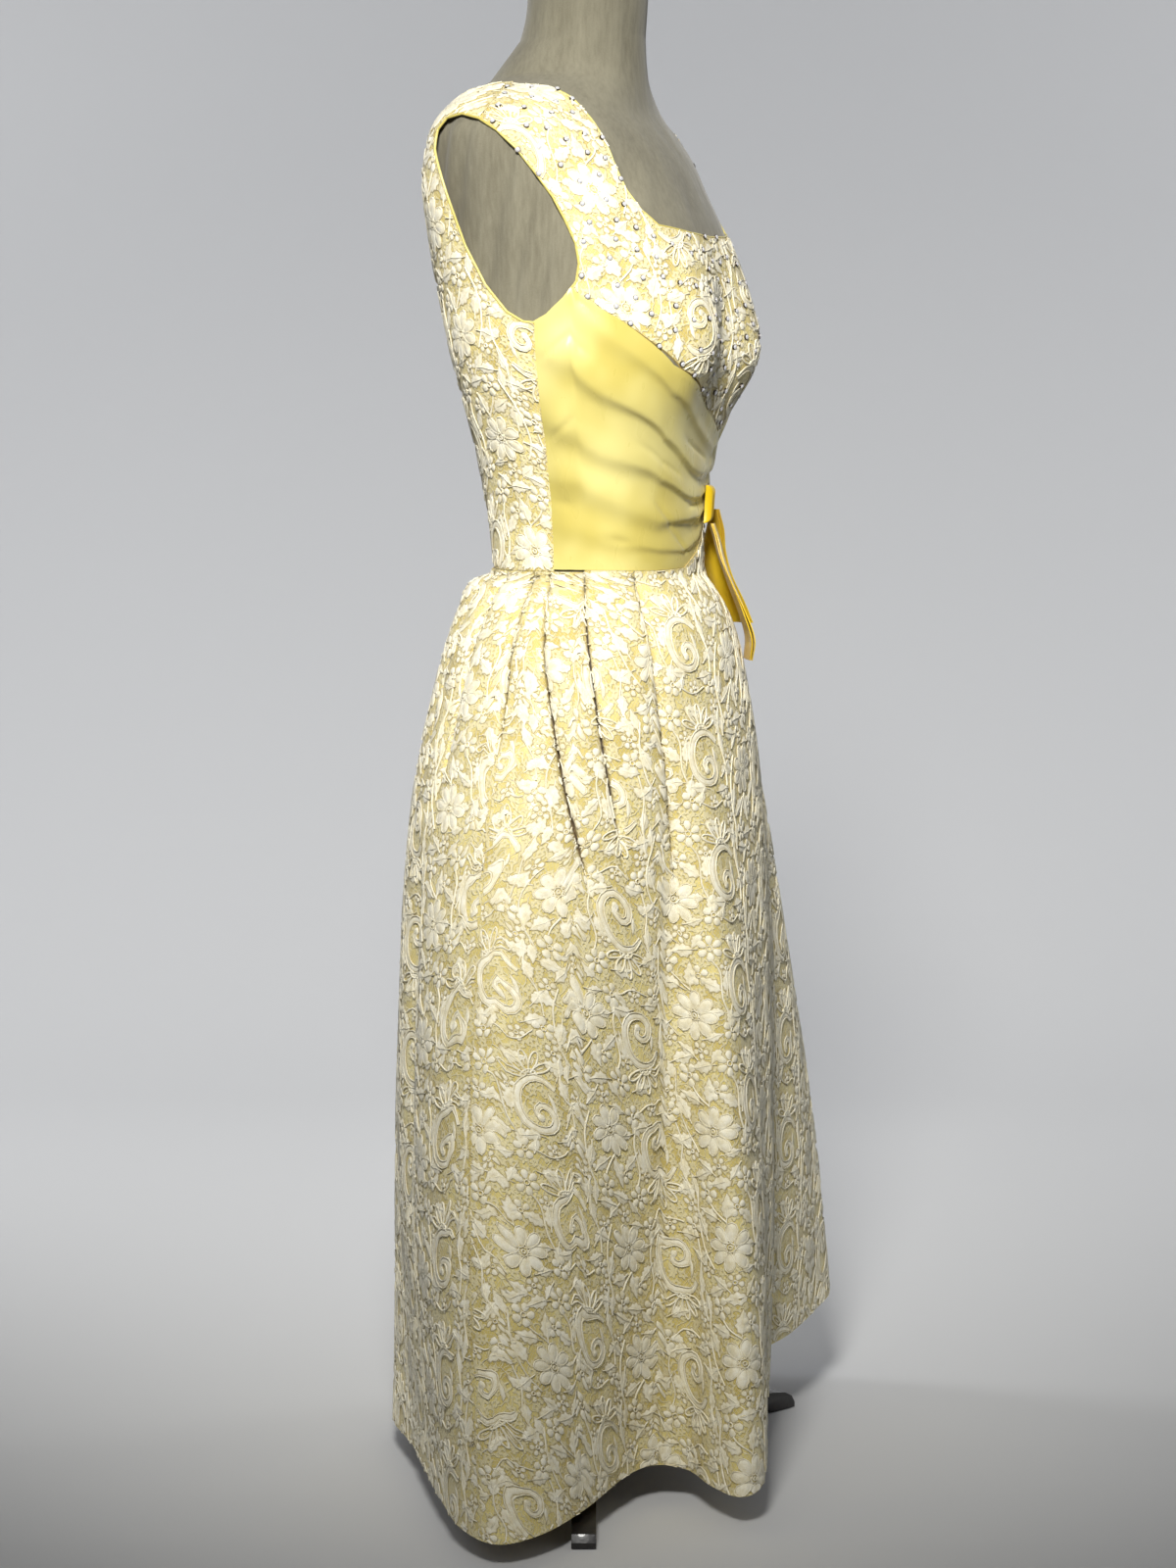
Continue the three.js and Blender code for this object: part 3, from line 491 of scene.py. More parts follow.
def form_field(p):
    x, y, z = p[..., 0], p[..., 1], p[..., 2]
    bust = 26 * bell((z - 1060) / np.where(z < 1060, 50, 66)) * bell((np.abs(x) - 72) / 47)
    mid, n = MID(z), SQUARE(z)
    reach = np.where(y < mid, FRONT(z) + bust + mid, BACK(z) - mid)
    return ((np.abs(x) / HALF(z)) ** n + (np.abs(y - mid) / reach) ** n) ** (1 / n) - 1


def form_normal(p):
    steps = np.eye(3) * 1.5
    n = np.stack([form_field(p + s) - form_field(p - s) for s in steps], -1)
    return n / np.linalg.norm(n, axis=-1, keepdims=True)


def torso(angle, row, climb=0.0, offset=0.0):
    """Points on the form: angle 0 is the front, growing to the wearer's right; climb tilts the
    ray upwards."""
    given = [np.asarray(v, float) for v in (angle, row, climb, offset)]
    angle, row, climb, offset = np.broadcast_arrays(*given)
    a, c = np.radians(angle), np.radians(climb)
    ray = np.stack([-np.sin(a) * np.cos(c), -np.cos(a) * np.cos(c), np.sin(c)], -1)
    level, climbing = np.where(row > CHEST_Z, 16, 0), 40 * np.clip(climb / 60, 0, 1)
    start = np.stack([0 * a, np.where(climb > 0, climbing, level), row], -1)
    inside, outside = np.zeros_like(a), np.full_like(a, 400.0)
    for _ in range(34):
        t = (inside + outside) / 2
        within = form_field(start + ray * t[..., None]) < 0
        inside, outside = np.where(within, t, inside), np.where(within, outside, t)
    hit = start + ray * inside[..., None]
    return hit + form_normal(hit) * offset[..., None]


def stand_off(p):
    """How far the bodice stands off the form behind each armhole."""
    far = np.sqrt((np.abs(p[..., 0]) - 138) ** 2 + (p[..., 1] - 98) ** 2 + ((p[..., 2] - 1195) * 0.7) ** 2)
    return 9 * bell(far / 46)


def hem_curve(t):
    s = (t % 1) * len(HEM)
    i = np.floor(s).astype(int)
    f = (s - i)[..., None]
    a, b, c, d = [HEM[(i + k) % len(HEM)] for k in (-1, 0, 1, 2)]
    return 0.5 * (2 * b + (c - a) * f + (2 * a - 5 * b + 4 * c - d) * f**2 + (3 * b - a - 3 * c + d) * f**3)


ROUND = hem_curve(np.linspace(0, 1, 601))[:, :2]
LENGTHS = np.concatenate([[0], np.cumsum(np.linalg.norm(np.diff(ROUND, axis=0), axis=1))])


def hem(t):
    """Point of the hem at the part t of its length."""
    return hem_curve(np.interp((t % 1) * LENGTHS[-1], LENGTHS, np.linspace(0, 1, 601)))


def waist_angle(t):
    p = hem(t)
    polar = np.degrees(np.arctan2(-p[..., 0], -p[..., 1]))
    level = (360 * t + 180) % 360 - 180
    return level + 0.35 * ((polar - level + 540) % 360 - 180)


def pleat_shape(x, y, z):
    """Depth of the pleats, how far a point is in a pressed groove (0 to 1), and the way to the
    nearest groove in degrees. Waist pleats are narrow and sharp; the two long folds stay soft."""
    angle = np.degrees(np.arctan2(-x, -y))
    total, groove, toward = np.zeros_like(x), np.zeros_like(x), np.zeros_like(x)
    for top, foot, high, low, depth, width in PLEATS:
        f = (high - z) / (high - low)
        waist = high > WAIST_Z
        start = smooth((WAIST_Z + 2 - z) / 20) if waist else smooth(f / 0.3)
        fade = smooth((1 - f) / 0.3) * start * ((f >= 0) & (f <= 1))
        for side in (1, -1):
            off = (angle - side * (top + (foot - top) * f + (0 if side > 0 else 3)) + 540) % 360 - 180
            total += fade * depth * (0.5 if waist else 1) * bell(off / width)
            if waist:
                groove += fade * bell(off / np.where(off * side > 0, PLEAT_BEHIND, PLEAT_AHEAD))
                toward += off * np.exp(-(off / DRAW_REACH) ** 2) * ((f > -0.1) & (f < 1.1))
    return total + PRESSED_DEEP * groove, groove, toward


def skirt(t, part):
    """The skirt's middle surface: t goes round it, part is 0 at the hem and 1 at the waist."""
    t, part = np.broadcast_arrays(t, part)
    foot, angle = hem(t), waist_angle(t)
    a = np.radians(angle)
    dx, dy = -np.sin(a), -np.cos(a)

    def ring(z):
        fall = np.where(dy < 0, FRONT_FALL(z), BACK_FALL(z))
        r = 1 / np.sqrt((dx / SIDE_FALL(z)) ** 2 + (dy / fall) ** 2)
        worn = smooth((z - WAIST_TURN) / (WAIST_Z - 4 - WAIST_TURN))
        x, y = dx * r, dy * r
        near = worn > 0
        if near.any():
            on = torso(angle[near], z[near], 0, REST + WALL / 2 + EASE)
            x[near] += (on[:, 0] - x[near]) * worn[near]
            y[near] += (on[:, 1] - y[near]) * worn[near]
        return x, y

    x_top = ring(np.full_like(t, WAIST_Z))[0]
    top = np.where(np.abs(angle) < 75, edge_at(MIDRIFF_BOTTOM, x_top) + 3, WAIST_Z - 2 * SEAM)
    z = foot[..., 2] + part * (top - foot[..., 2])
    x, y = ring(z)
    f = np.clip((760 - z) / (760 - foot[..., 2]), 0, 1)
    w = np.where(f < 0.12, f * f / 0.24, f - 0.06) / 0.94
    x, y = x + (foot[..., 0] - x) * w, y + (foot[..., 1] - y) * w
    pull = 1 - pleat_shape(x, y, z)[0] / np.hypot(x, y)
    return np.stack([x * pull, y * pull, z], -1)


def edge_at(points, x):
    return np.interp(x, [p[0] for p in points], [p[1] for p in points])


# %% [markdown]
# ## Cloth as thin closed shells
# A cloth has an outer face, an inner face and a rim. `shell` makes one from two grids of points
# and a grid of cloth coordinates. The outer face takes material 0 and the rest material 1, so
# later steps can tell which side is seen. `cut` trims a shell with prisms on drawn outlines.


# %% Building shells
def shell(name, outer, inner, cloth, finishes, wrapped=False, folds=None):
    """A closed cloth. folds says how far each point is in a pressed pleat, for the net's painted pleat
    shade.
    """
    rows, columns = outer.shape[:2]
    ids = np.arange(rows * columns).reshape(rows, columns)
    wide = np.concatenate([ids, ids[:, :1]], 1) if wrapped else ids
    out = np.stack([wide[:-1, :-1], wide[:-1, 1:], wide[1:, 1:], wide[1:, :-1]], -1).reshape(-1, 4)
    back = out[:, ::-1] + rows * columns
    a, b = wide[0, :-1], wide[0, 1:]
    c, d = wide[-1, :-1], wide[-1, 1:]
    n = rows * columns
    rim = [np.stack([b, a, a + n, b + n], -1), np.stack([c, d, d + n, c + n], -1)]
    if not wrapped:
        e, f = ids[:-1, 0], ids[1:, 0]
        g, h = ids[:-1, -1], ids[1:, -1]
        rim += [np.stack([e, f, f + n, e + n], -1), np.stack([h, g, g + n, h + n], -1)]
    faces = np.concatenate([out, back, *rim])
    mesh = bpy.data.meshes.new(name)
    verts = np.concatenate([metres(outer).reshape(-1, 3), metres(inner).reshape(-1, 3)])
    mesh.from_pydata(verts.tolist(), [], faces.tolist())
    uv = mesh.uv_layers.new(name="cloth")
    if wrapped:
        cloth = np.concatenate([cloth, cloth[:, -1:] + (cloth[:, -1:] - cloth[:, -2:-1])], 1)
    corner = lambda g: np.stack([g[:-1, :-1], g[:-1, 1:], g[1:, 1:], g[1:, :-1]], 2).reshape(-1, 4, 2)
    uvs = np.zeros((len(faces), 4, 2))
    uvs[:len(out)] = corner(cloth)
    uvs[len(out):2 * len(out)] = corner(cloth)[:, ::-1]
    uv.data.foreach_set("uv", (uvs / 1000).ravel())
    marks = np.zeros_like(uvs)
    if folds is not None:
        marks[:len(out)] = corner(np.stack([folds, folds], -1))
    mesh.uv_layers.new(name="folds").data.foreach_set("uv", marks.ravel())
    mesh.polygons.foreach_set("material_index", [0] * len(out) + [1] * (len(faces) - len(out)))
    for finish in finishes:
        mesh.materials.append(finish)
    obj = link(bpy.data.objects.new(name, mesh))
    tidy(obj)
    return obj


def tidy(obj, angle=50):
    """Turn every face outwards, and shade smooth but for edges sharper than the angle."""
    mesh = obj.data
    bm = bmesh.new()
    bm.from_mesh(mesh)
    bmesh.ops.recalc_face_normals(bm, faces=bm.faces)
    if bm.calc_volume(signed=True) < 0:
        bmesh.ops.reverse_faces(bm, faces=bm.faces)
    bm.to_mesh(mesh)
    bm.free()
    mesh.polygons.foreach_set("use_smooth", [True] * len(mesh.polygons))
    mesh.set_sharp_from_angle(angle=math.radians(angle))
    mesh.update()


def prism(outline, axis, start, end):
    """A closed prism on an outline seen from the side (axis x) or from the front (axis y)."""
    put = (lambda d, u, z: (d, u, z)) if axis == "x" else (lambda d, u, z: (u, d, z))
    verts = [put(d, u, z) for d in (start, end) for u, z in outline]
    n = len(outline)
    faces = [list(range(n)), list(range(2 * n - 1, n - 1, -1))]
    faces += [[i, (i + 1) % n, n + (i + 1) % n, n + i] for i in range(n)]
    mesh = bpy.data.meshes.new("prism")
    mesh.from_pydata(metres(verts).tolist(), [], faces)
    mesh.materials.append(LINING)
    mesh.materials.append(LINING)
    mesh.polygons.foreach_set("material_index", [1] * len(faces))
    obj = link(bpy.data.objects.new("prism", mesh))
    tidy(obj, 180)
    return obj


def cut(obj, cuts, keep=False):
    """Cut the prisms out, or keep only what lies in all of them."""
    for cutter in cuts:
        modifier = obj.modifiers.new("cut", "BOOLEAN")
        modifier.solver, modifier.object = "MANIFOLD", cutter
        modifier.operation = "INTERSECT" if keep else "DIFFERENCE"
    bake(obj)
    for cutter in cuts:
        bpy.data.objects.remove(cutter)
    tidy(obj)
    return obj


def bake(obj):
    """Turn what the modifiers make into the object's own mesh."""
    graph = bpy.context.evaluated_depsgraph_get()
    mesh = bpy.data.meshes.new_from_object(obj.evaluated_get(graph), preserve_all_data_layers=True,
                                           depsgraph=graph)
    obj.modifiers.clear()
    obj.data = mesh


def cloth_lines_of(points, middle):
    """Cloth coordinates in mm for a grid [row][column]: along each row from a middle column, and
    up the columns from the last row."""
    rows, columns = points.shape[:2]
    across, upward = [np.linalg.norm(np.diff(points, axis=k), axis=2) for k in (1, 0)]
    along = np.concatenate([np.zeros((rows, 1)), np.cumsum(across, 1)], 1)
    along -= along[:, middle:middle + 1]
    up = np.concatenate([np.zeros((1, columns)), np.cumsum(upward, 0)])
    return np.stack([along, up - up[-1:]], -1)


LINING = satin_finish("lining", (0.55, 0.42, 0.14), (0.72, 0.58, 0.26), 0.45)
CLOTH = [NET, LINING]

# %% [markdown]
# ## The bodice
# The bodice is one shell wrapped round the form, first by level rings and then by rings that
# climb over the shoulders. Prisms cut the neckline and the armholes out of it.

# %% Bodice
COLUMNS = 240
LEVELS = np.concatenate([np.linspace(858, CHEST_Z, 32), np.full(24, CHEST_Z)])
CLIMBS = np.concatenate([np.zeros(32), np.linspace(2.5, 70, 24)])


def mirrored(edge): return [(-u, z) for u, z in reversed(edge) if u] + list(edge)


def bodice_shell(name, middle):
    """Round the form from a middle angle, so that the seam of the cloth coordinates lies opposite."""
    angles = middle - 180 + 360 * np.arange(COLUMNS) / COLUMNS
    grid = lambda offset: torso(angles[None], LEVELS[:, None], CLIMBS[:, None], offset)
    loose = stand_off(grid(REST))
    outer, inner = grid(REST + WALL + loose), grid(REST + loose)
    cloth = cloth_lines_of(outer[:, ::-1], COLUMNS // 2)[:, ::-1]
    obj = shell(name, outer[:, ::-1], inner[:, ::-1], cloth[:, ::-1], CLOTH, wrapped=True)
    front, back = mirrored(FRONT_NECK), mirrored(BACK_NECK)
    close = lambda edge: edge + [(97, 1460), (-97, 1460)]
    return cut(obj, [prism(close(front), "y", -300, RIDGE_Y),
                     prism(close(back), "y", RIDGE_Y - 1, 300),
                     prism(ARMHOLE, "x", -400, -60), prism(ARMHOLE, "x", 60, 400)])


def bodice_front():
    lower = [(x, z + SEAM) for x, z in MIDRIFF_TOP]
    ahead = [(-400, 820), (0, 820), (0, 1160), (RIDGE_Y - SEAM, 1240), (RIDGE_Y - SEAM, 1460), (-400, 1460)]
    loop = lower + [(300, 1114), (300, 1460), (-300, 1460), (-300, 1114)]
    kept = [prism(loop, "y", -300, 200), prism(ahead, "x", -400, 400)]
    return cut(bodice_shell("lace_front", 0), kept, keep=True)


def bodice_back(name, start, end):
    loop = [(SEAM, 820), (SEAM, 1160), (RIDGE_Y + SEAM, 1240), (RIDGE_Y + SEAM, 1460), (400, 1460),
            (400, 820)]
    return cut(bodice_shell(name, 180), [prism(loop, "x", start, end)], keep=True)


front = bodice_front()
back_right = bodice_back("lace_back_right", -400, -SEAM)
back_left = bodice_back("lace_back_left", SEAM, 400)
print("bodice faces:", [len(o.data.polygons) for o in (front, back_right, back_left)])

# %% [markdown]
# ## The draped midriff
# The two satin pieces run from the side seams to the bow. Rounded ridges fan out from the bow,
# and a few finer creases lie between them.


# %% Midriff
def midriff_edge(edge, angle):
    """Heights of the midriff's edge at some angles; at the side its top follows the armhole."""
    z = np.full_like(angle, 1040.0 if edge is MIDRIFF_TOP else 870.0)
    for _ in range(30):
        p = torso(angle, z, 0, REST + WALL)
        arm = 1081 + 35 * np.clip(-p[:, 1] / 36, 0, 1) ** 1.15
        goal = edge_at(edge, p[:, 0])
        if edge is MIDRIFF_TOP:
            goal = np.where(-p[:, 1] < 36, arm, goal)
        z += 0.6 * (goal - z)
    return z


def meeting_angle(z):
    """The angle at which the midriff's surface reaches the bow."""
    angle = np.full_like(z, -20.0)
    for _ in range(12):
        p = torso(angle, z, 0, REST + WALL)
        angle = -np.degrees(np.arctan2(KNOT_X, -p[..., 1]))
    return angle


# Short creases between the folds: height (0 bottom, 1 top) where a crease starts and ends, the
# places of its two ends from the side seam (0) to the bow (1), and how deep it is
CREASES = [(0.84, 0.8, 0.0, 0.2, 0.9), (0.56, 0.52, 0.3, 0.62, 0.9), (0.52, 0.55, 0.0, 0.16, 1.0),
           (0.36, 0.06, 0.4, 0.74, 1.6), (0.14, 0.12, 0.18, 0.36, 1.3), (0.3, 0.22, 0.0, 0.14, 1.0),
           (0.74, 0.7, 0.55, 0.9, 1.0), (0.36, 0.4, 0.66, 0.95, 1.0)]
CREASE_DEEPER, CREASE_WIDTH = 1.5, 0.018


def drape_height(u, v):
    """Rounded above each fold's lower edge and steep below it. The steep side is crisp in the
    middle of the piece and softer towards the side seam and the bow."""
    reach = (smooth(u / 0.08) * 0.75 + 0.25) * (1 - 0.42 * smooth((u - 0.7) / 0.25))
    total = np.full_like(v, 0.8)
    for number, (edge, height, above, below) in enumerate(DRAPES):
        off = v - curve_through(DRAPE_STEPS, edge)(u)
        seam_side = 1.3 * (1 - smooth((u - 0.12 * (number % 3)) / 0.45))
        bow_side = 0.7 * smooth((u - 0.6 - 0.12 * (number % 2)) / 0.3)
        steep = below * (0.42 + seam_side + bow_side)
        total += height * reach * np.where(off > 0, bell(off / above), bell(off / steep))
    for first, last, start, end, deep in CREASES:
        along = smooth((u - start) / 0.1) * smooth((end - u) / 0.1)
        line = first + (last - first) * (u - start) / (end - start)
        total -= deep * along * CREASE_DEEPER * bell((v - line) / CREASE_WIDTH)
    return total


def midriff(name, side):
    columns, rows = 72, 110
    u, v = np.linspace(0, 1, columns + 1), np.linspace(0, 1, rows + 1)[:, None]
    begin = -side * 92.0
    bow = meeting_angle(np.array([940.0]))[0] + side * 2
    seed = begin + (bow - begin) * u
    low, high = midriff_edge(MIDRIFF_BOTTOM, seed) - 3, midriff_edge(MIDRIFF_TOP, seed) + 4
    z = low + (high - low) * v
    angle = begin + (meeting_angle(z) + side * 2 - begin) * u
    folds = np.maximum(drape_height(u[None] + 0 * v, v + 0 * u[None]), 0.1)
    lift = folds * smooth(np.minimum(v, 1 - v) / 0.05 + 0.3)
    grid = lambda offset: torso(angle, z, 0, offset + lift)
    outer, inner = grid(REST + WALL + 0.25), grid(REST + 0.25)
    if side > 0:
        outer, inner = outer[:, ::-1], inner[:, ::-1]
    obj = shell(name, outer, inner, cloth_lines_of(outer, 0), [SATIN, LINING])
    rise = lambda edge, by: [(x, y + by) for x, y in edge]
    over = rise(MIDRIFF_TOP, -SEAM) + [(300, 1114), (300, 1460), (-300, 1460), (-300, 1114)]
    under = rise(MIDRIFF_BOTTOM, SEAM) + [(300, 860), (300, 700), (-300, 700), (-300, 860)]
    beyond = (KNOT_X - SEAM, 300) if side < 0 else (-300, KNOT_X + SEAM)
    outer_side = (-400, -60) if side < 0 else (60, 400)
    behind = [(-SEAM, 700), (300, 700), (300, 1400), (-SEAM, 1400)]
    past_bow = [(-300, 700), (0, 700), (0, 1000), (-300, 1000)]
    return cut(obj, [prism(behind, "x", -400, 400), prism(ARMHOLE, "x", *outer_side),
                     prism(over, "y", -300, 0), prism(under, "y", -300, 0),
                     prism(past_bow, "x", *beyond)])


drape_right, drape_left = midriff("drape_right", -1), midriff("drape_left", 1)
print("midriff faces:", len(drape_right.data.polygons), len(drape_left.data.polygons))

# %% [markdown]
# ## The skirt
# Three panels hang from the waist seam. Each is a grid between two seams, offset half a wall
# to both sides of the skirt's middle surface. A pressed pleat is narrower than the grid's even
# step, so the grid's columns are first drawn towards the pleats.


# %% Skirt
def seam_place(angle):
    """The part of the hem's length at which a seam of that angle at the waist ends."""
    t = np.arange(4000) / 4000
    return t[np.argmin(np.abs((waist_angle(t) - angle + 540) % 360 - 180))]


def skirt_panel(name, start, end, middle):
    columns, rows, seam = int(620 * (end - start)), 92, 0.00006
    t = np.linspace(start + seam, end - seam, columns + 1)[None]
    part = (1 - np.linspace(1, 0, rows + 1) ** 1.35)[:, None]
    centre = skirt(t, part)
    angle = np.unwrap(np.arctan2(-centre[..., 0], -centre[..., 1]), axis=1)
    from_seam = np.minimum(np.arange(columns + 1), columns - np.arange(columns + 1))
    toward = pleat_shape(*np.moveaxis(centre, -1, 0))[2] * smooth(from_seam / 6)
    drawn, near = 0.8, 0.0012
    t = t - drawn * np.radians(toward) * np.gradient(t[0])[None] / np.gradient(angle, axis=1)
    centre = skirt(t, part)
    along = skirt(t + near, part) - skirt(t - near, part)
    along /= np.linalg.norm(along, axis=-1, keepdims=True)
    out = np.stack([-along[..., 1], along[..., 0], 0 * along[..., 0]], -1)
    outer, inner = centre + out * WALL / 2, centre - out * WALL / 2
    cloth = cloth_lines_of(centre, int(columns * middle))
    print(name, "hem", round(float(np.ptp(cloth[0, :, 0]))), "waist", round(float(np.ptp(cloth[-1, :, 0]))),
          "longest", round(float(-cloth[0, :, 1].min())))
    return shell(name, outer, inner, cloth, CLOTH, folds=pleat_shape(*np.moveaxis(centre, -1, 0))[1])


RIGHT_SEAM, LEFT_SEAM, BACK_SEAM = seam_place(96), seam_place(-96), seam_place(180)
skirt_front = skirt_panel("lace_skirt_front", LEFT_SEAM - 1, RIGHT_SEAM, 0.5)
above = MIDRIFF_BOTTOM + [(300, 860), (300, 1460), (-300, 1460), (-300, 860)]
skirt_front = cut(skirt_front, [prism([(x, z - SEAM) for x, z in above], "y", -300, 0)])
skirt_right = skirt_panel("lace_skirt_right", RIGHT_SEAM, BACK_SEAM, 0.5)
skirt_left = skirt_panel("lace_skirt_left", BACK_SEAM, LEFT_SEAM, 0.5)

# %% [markdown]
# ## The bow, the zip pull, the form and the stand
# The knot is a pinched pad of satin, and each tail is a strip folded lengthwise. The form's
# jersey covers the torso and ends in a flat top at the neck. The stand and the zip pull keep
# their own solids, with rounded edges and a finish.

# %% Bow
# At each row the place of the tail's middle (x, y, z), its width and how far it is turned
TAIL_FRONT = [(48.4, -96, 898.2, 18, 14), (51, -100, 884, 25, 16), (53, -104, 866, 34, 18),
              (57, -112, 842, 44, 20), (62, -122, 815, 52, 22), (67, -128, 790, 57, 24),
              (71, -125, 770, 50, 24)]
TAIL_SIDE = [(65.8, -92.3, 911, 14, 40), (77, -88, 893, 25, 52), (88, -83, 872, 33, 56),
             (98, -84, 848, 40, 57), (108, -90, 824, 44, 58), (115, -98, 802, 40, 58)]
# The strip's section: across its width and through its two layers
TAIL_SECTION = [(-0.5, 0), (-0.2, 0.06), (0.1, -0.04), (0.36, 0.05), (0.47, 0.3), (0.5, 0.5),
                (0.47, 0.7), (0.36, 0.95), (0.1, 1.04), (-0.2, 0.94), (-0.42, 1)]


def bow_knot():
    angle = -math.degrees(math.atan2(KNOT_X, 88))
    v, u = np.meshgrid(np.linspace(-1, 1, 31), np.linspace(1, -1, 31), indexing="ij")
    round_off = np.sqrt(np.clip(1 - np.maximum(u * u, v * v) ** 2, 0, 1)) * (0.85 + 0.15 * np.cos(9 * u))
    crease = 1.1 * bell((u - 0.3 - 0.2 * v) / 0.08) + 0.9 * bell((u + 0.35 - 0.1 * v) / 0.07)
    pinch = 1 - 0.16 * (1 - v * v)
    grid = lambda lift: torso(angle + u * pinch * 12 * 0.6, 917 + v * 18, 0, REST + WALL + 4.4 + lift)
    outer, inner = grid(WALL + 6 * round_off - crease * round_off), grid(0)
    return shell("bow_knot_satin", outer, inner, cloth_lines_of(outer, 15), [GOLD, GOLD])


def bow_tail(name, rows):
    rows, section = np.array(rows, float), np.array(TAIL_SECTION)
    place = np.linspace(rows[0, 2], rows[-1, 2], 46)
    line = [curve_through(rows[:, 2], rows[:, k])(place) for k in (0, 1, 3, 4)]
    x, y, width, turn = [c[:, None] for c in line]
    s = np.linspace(0, len(section) - 1, 51)
    u, v = [curve_through(np.arange(len(section)), section[:, k])(s)[None] for k in (0, 1)]
    across, deep = u * width, v * 5 * (0.3 + 0.7 * smooth((u + 0.5) / 0.7)) + 0 * width
    ripple = 0.5 * np.sin(u * 9 + place[:, None] * 0.07) * smooth((rows[0, 2] - place[:, None]) / 30)
    edge_u, edge_v = np.gradient(across, axis=1), np.gradient(deep, axis=1)
    long = np.hypot(edge_u, edge_v)

    def side(shift):
        m, n = across + edge_v / long * shift, deep - edge_u / long * (shift + ripple)
        c, si = np.cos(np.radians(turn)), np.sin(np.radians(turn))
        return np.stack([x + m * c - n * si, y + m * si + n * c, place[:, None] + 0 * m], -1)
    outer, inner = side(0.5), side(-0.5)
    return shell(name, outer, inner, cloth_lines_of(outer, 25), [GOLD, GOLD])


knot = bow_knot()
tail_front = bow_tail("bow_tail_front_satin", TAIL_FRONT)
tail_side = bow_tail("bow_tail_side_satin", TAIL_SIDE)

# %% Form and stand


def form_jersey():
    around, body, shoulders, neck = 180, 60, 34, 10
    angles = -np.arange(around)[None] * 360 / around
    levels = np.concatenate([np.linspace(690, CHEST_Z, body), np.full(shoulders, CHEST_Z),
                             np.linspace(1342, 1402, neck)])
    climbs = np.concatenate([np.zeros(body), np.linspace(2, 70, shoulders), np.zeros(neck)])
    x, y, z = np.moveaxis(torso(angles, levels[:, None], climbs[:, None], 0), -1, 0)
    # Slack jersey falls in soft folds at the sides, inside the armholes
    slack = smooth((np.abs(x) - 70) / 40) * smooth((z - 1050) / 60) * smooth((1290 - z) / 50)
    run = y + 0.16 * (z - 1180) + 5 * np.sin(z / 47)
    fold = 0.5 + 0.5 * np.sin(run / 5.2 + 1.4 * np.sin(run / 17))
    rings = torso(angles, levels[:, None], climbs[:, None], -3.4 * slack * fold ** 2)
    verts = np.concatenate([metres(rings).reshape(-1, 3), metres([[0, 0, 690], [0, 15, 1402.6]])])
    ids = np.arange(rings.size // 3).reshape(-1, around)
    wide = np.concatenate([ids, ids[:, :1]], 1)
    faces = np.stack([wide[:-1, :-1], wide[:-1, 1:], wide[1:, 1:], wide[1:, :-1]], -1)
    faces, n = faces.reshape(-1, 4).tolist(), ids.size
    faces += [(wide[0, i + 1], wide[0, i], n) for i in range(around)]
    faces += [(wide[-1, i], wide[-1, i + 1], n + 1) for i in range(around)]
    mesh = bpy.data.meshes.new("form_jersey")
    mesh.from_pydata(verts.tolist(), [], [tuple(int(k) for k in f) for f in faces])
    mesh.materials.append(JERSEY)
    obj = link(bpy.data.objects.new("form_jersey", mesh))
    tidy(obj)
    return obj


def finished_copy(node, material, bevel):
    """The solid itself, with its edges rounded over and a finish."""
    mesh = frame["nodes"][node].data.copy()
    obj = link(bpy.data.objects.new(node + "_finished", mesh))
    mesh.materials.clear()
    mesh.materials.append(material)
    bm = bmesh.new()
    bm.from_mesh(mesh)
    bmesh.ops.remove_doubles(bm, verts=bm.verts, dist=1e-6)
    bmesh.ops.dissolve_limit(bm, angle_limit=0.01, verts=bm.verts, edges=bm.edges)
    bm.to_mesh(mesh)
    bm.free()
    modifier = obj.modifiers.new("round", "BEVEL")
    modifier.width, modifier.segments = bevel, 3
    modifier.limit_method, modifier.angle_limit = "ANGLE", 0.5
    bake(obj)
    tidy(obj, 40)
    return obj


form = form_jersey()
pole = finished_copy("stand_pole", IRON, 0.0008)
base = finished_copy("stand_base", IRON, 0.0015)
pull = finished_copy("zip_pull", ZIP_METAL, 0.0004)

# %% [markdown]
# ## The lace
# Corded lace is drawn once, flat, as a repeat of flowers, serrated leaves, a scroll and a fan
# of open loops. Bands have a raised ridge and filled shapes a raised rim round a hollow, so
# light catches them. The next column of the repeat is turned upside down and set half a repeat
# higher, so that the eye doesn't find rows of scrolls across the skirt.


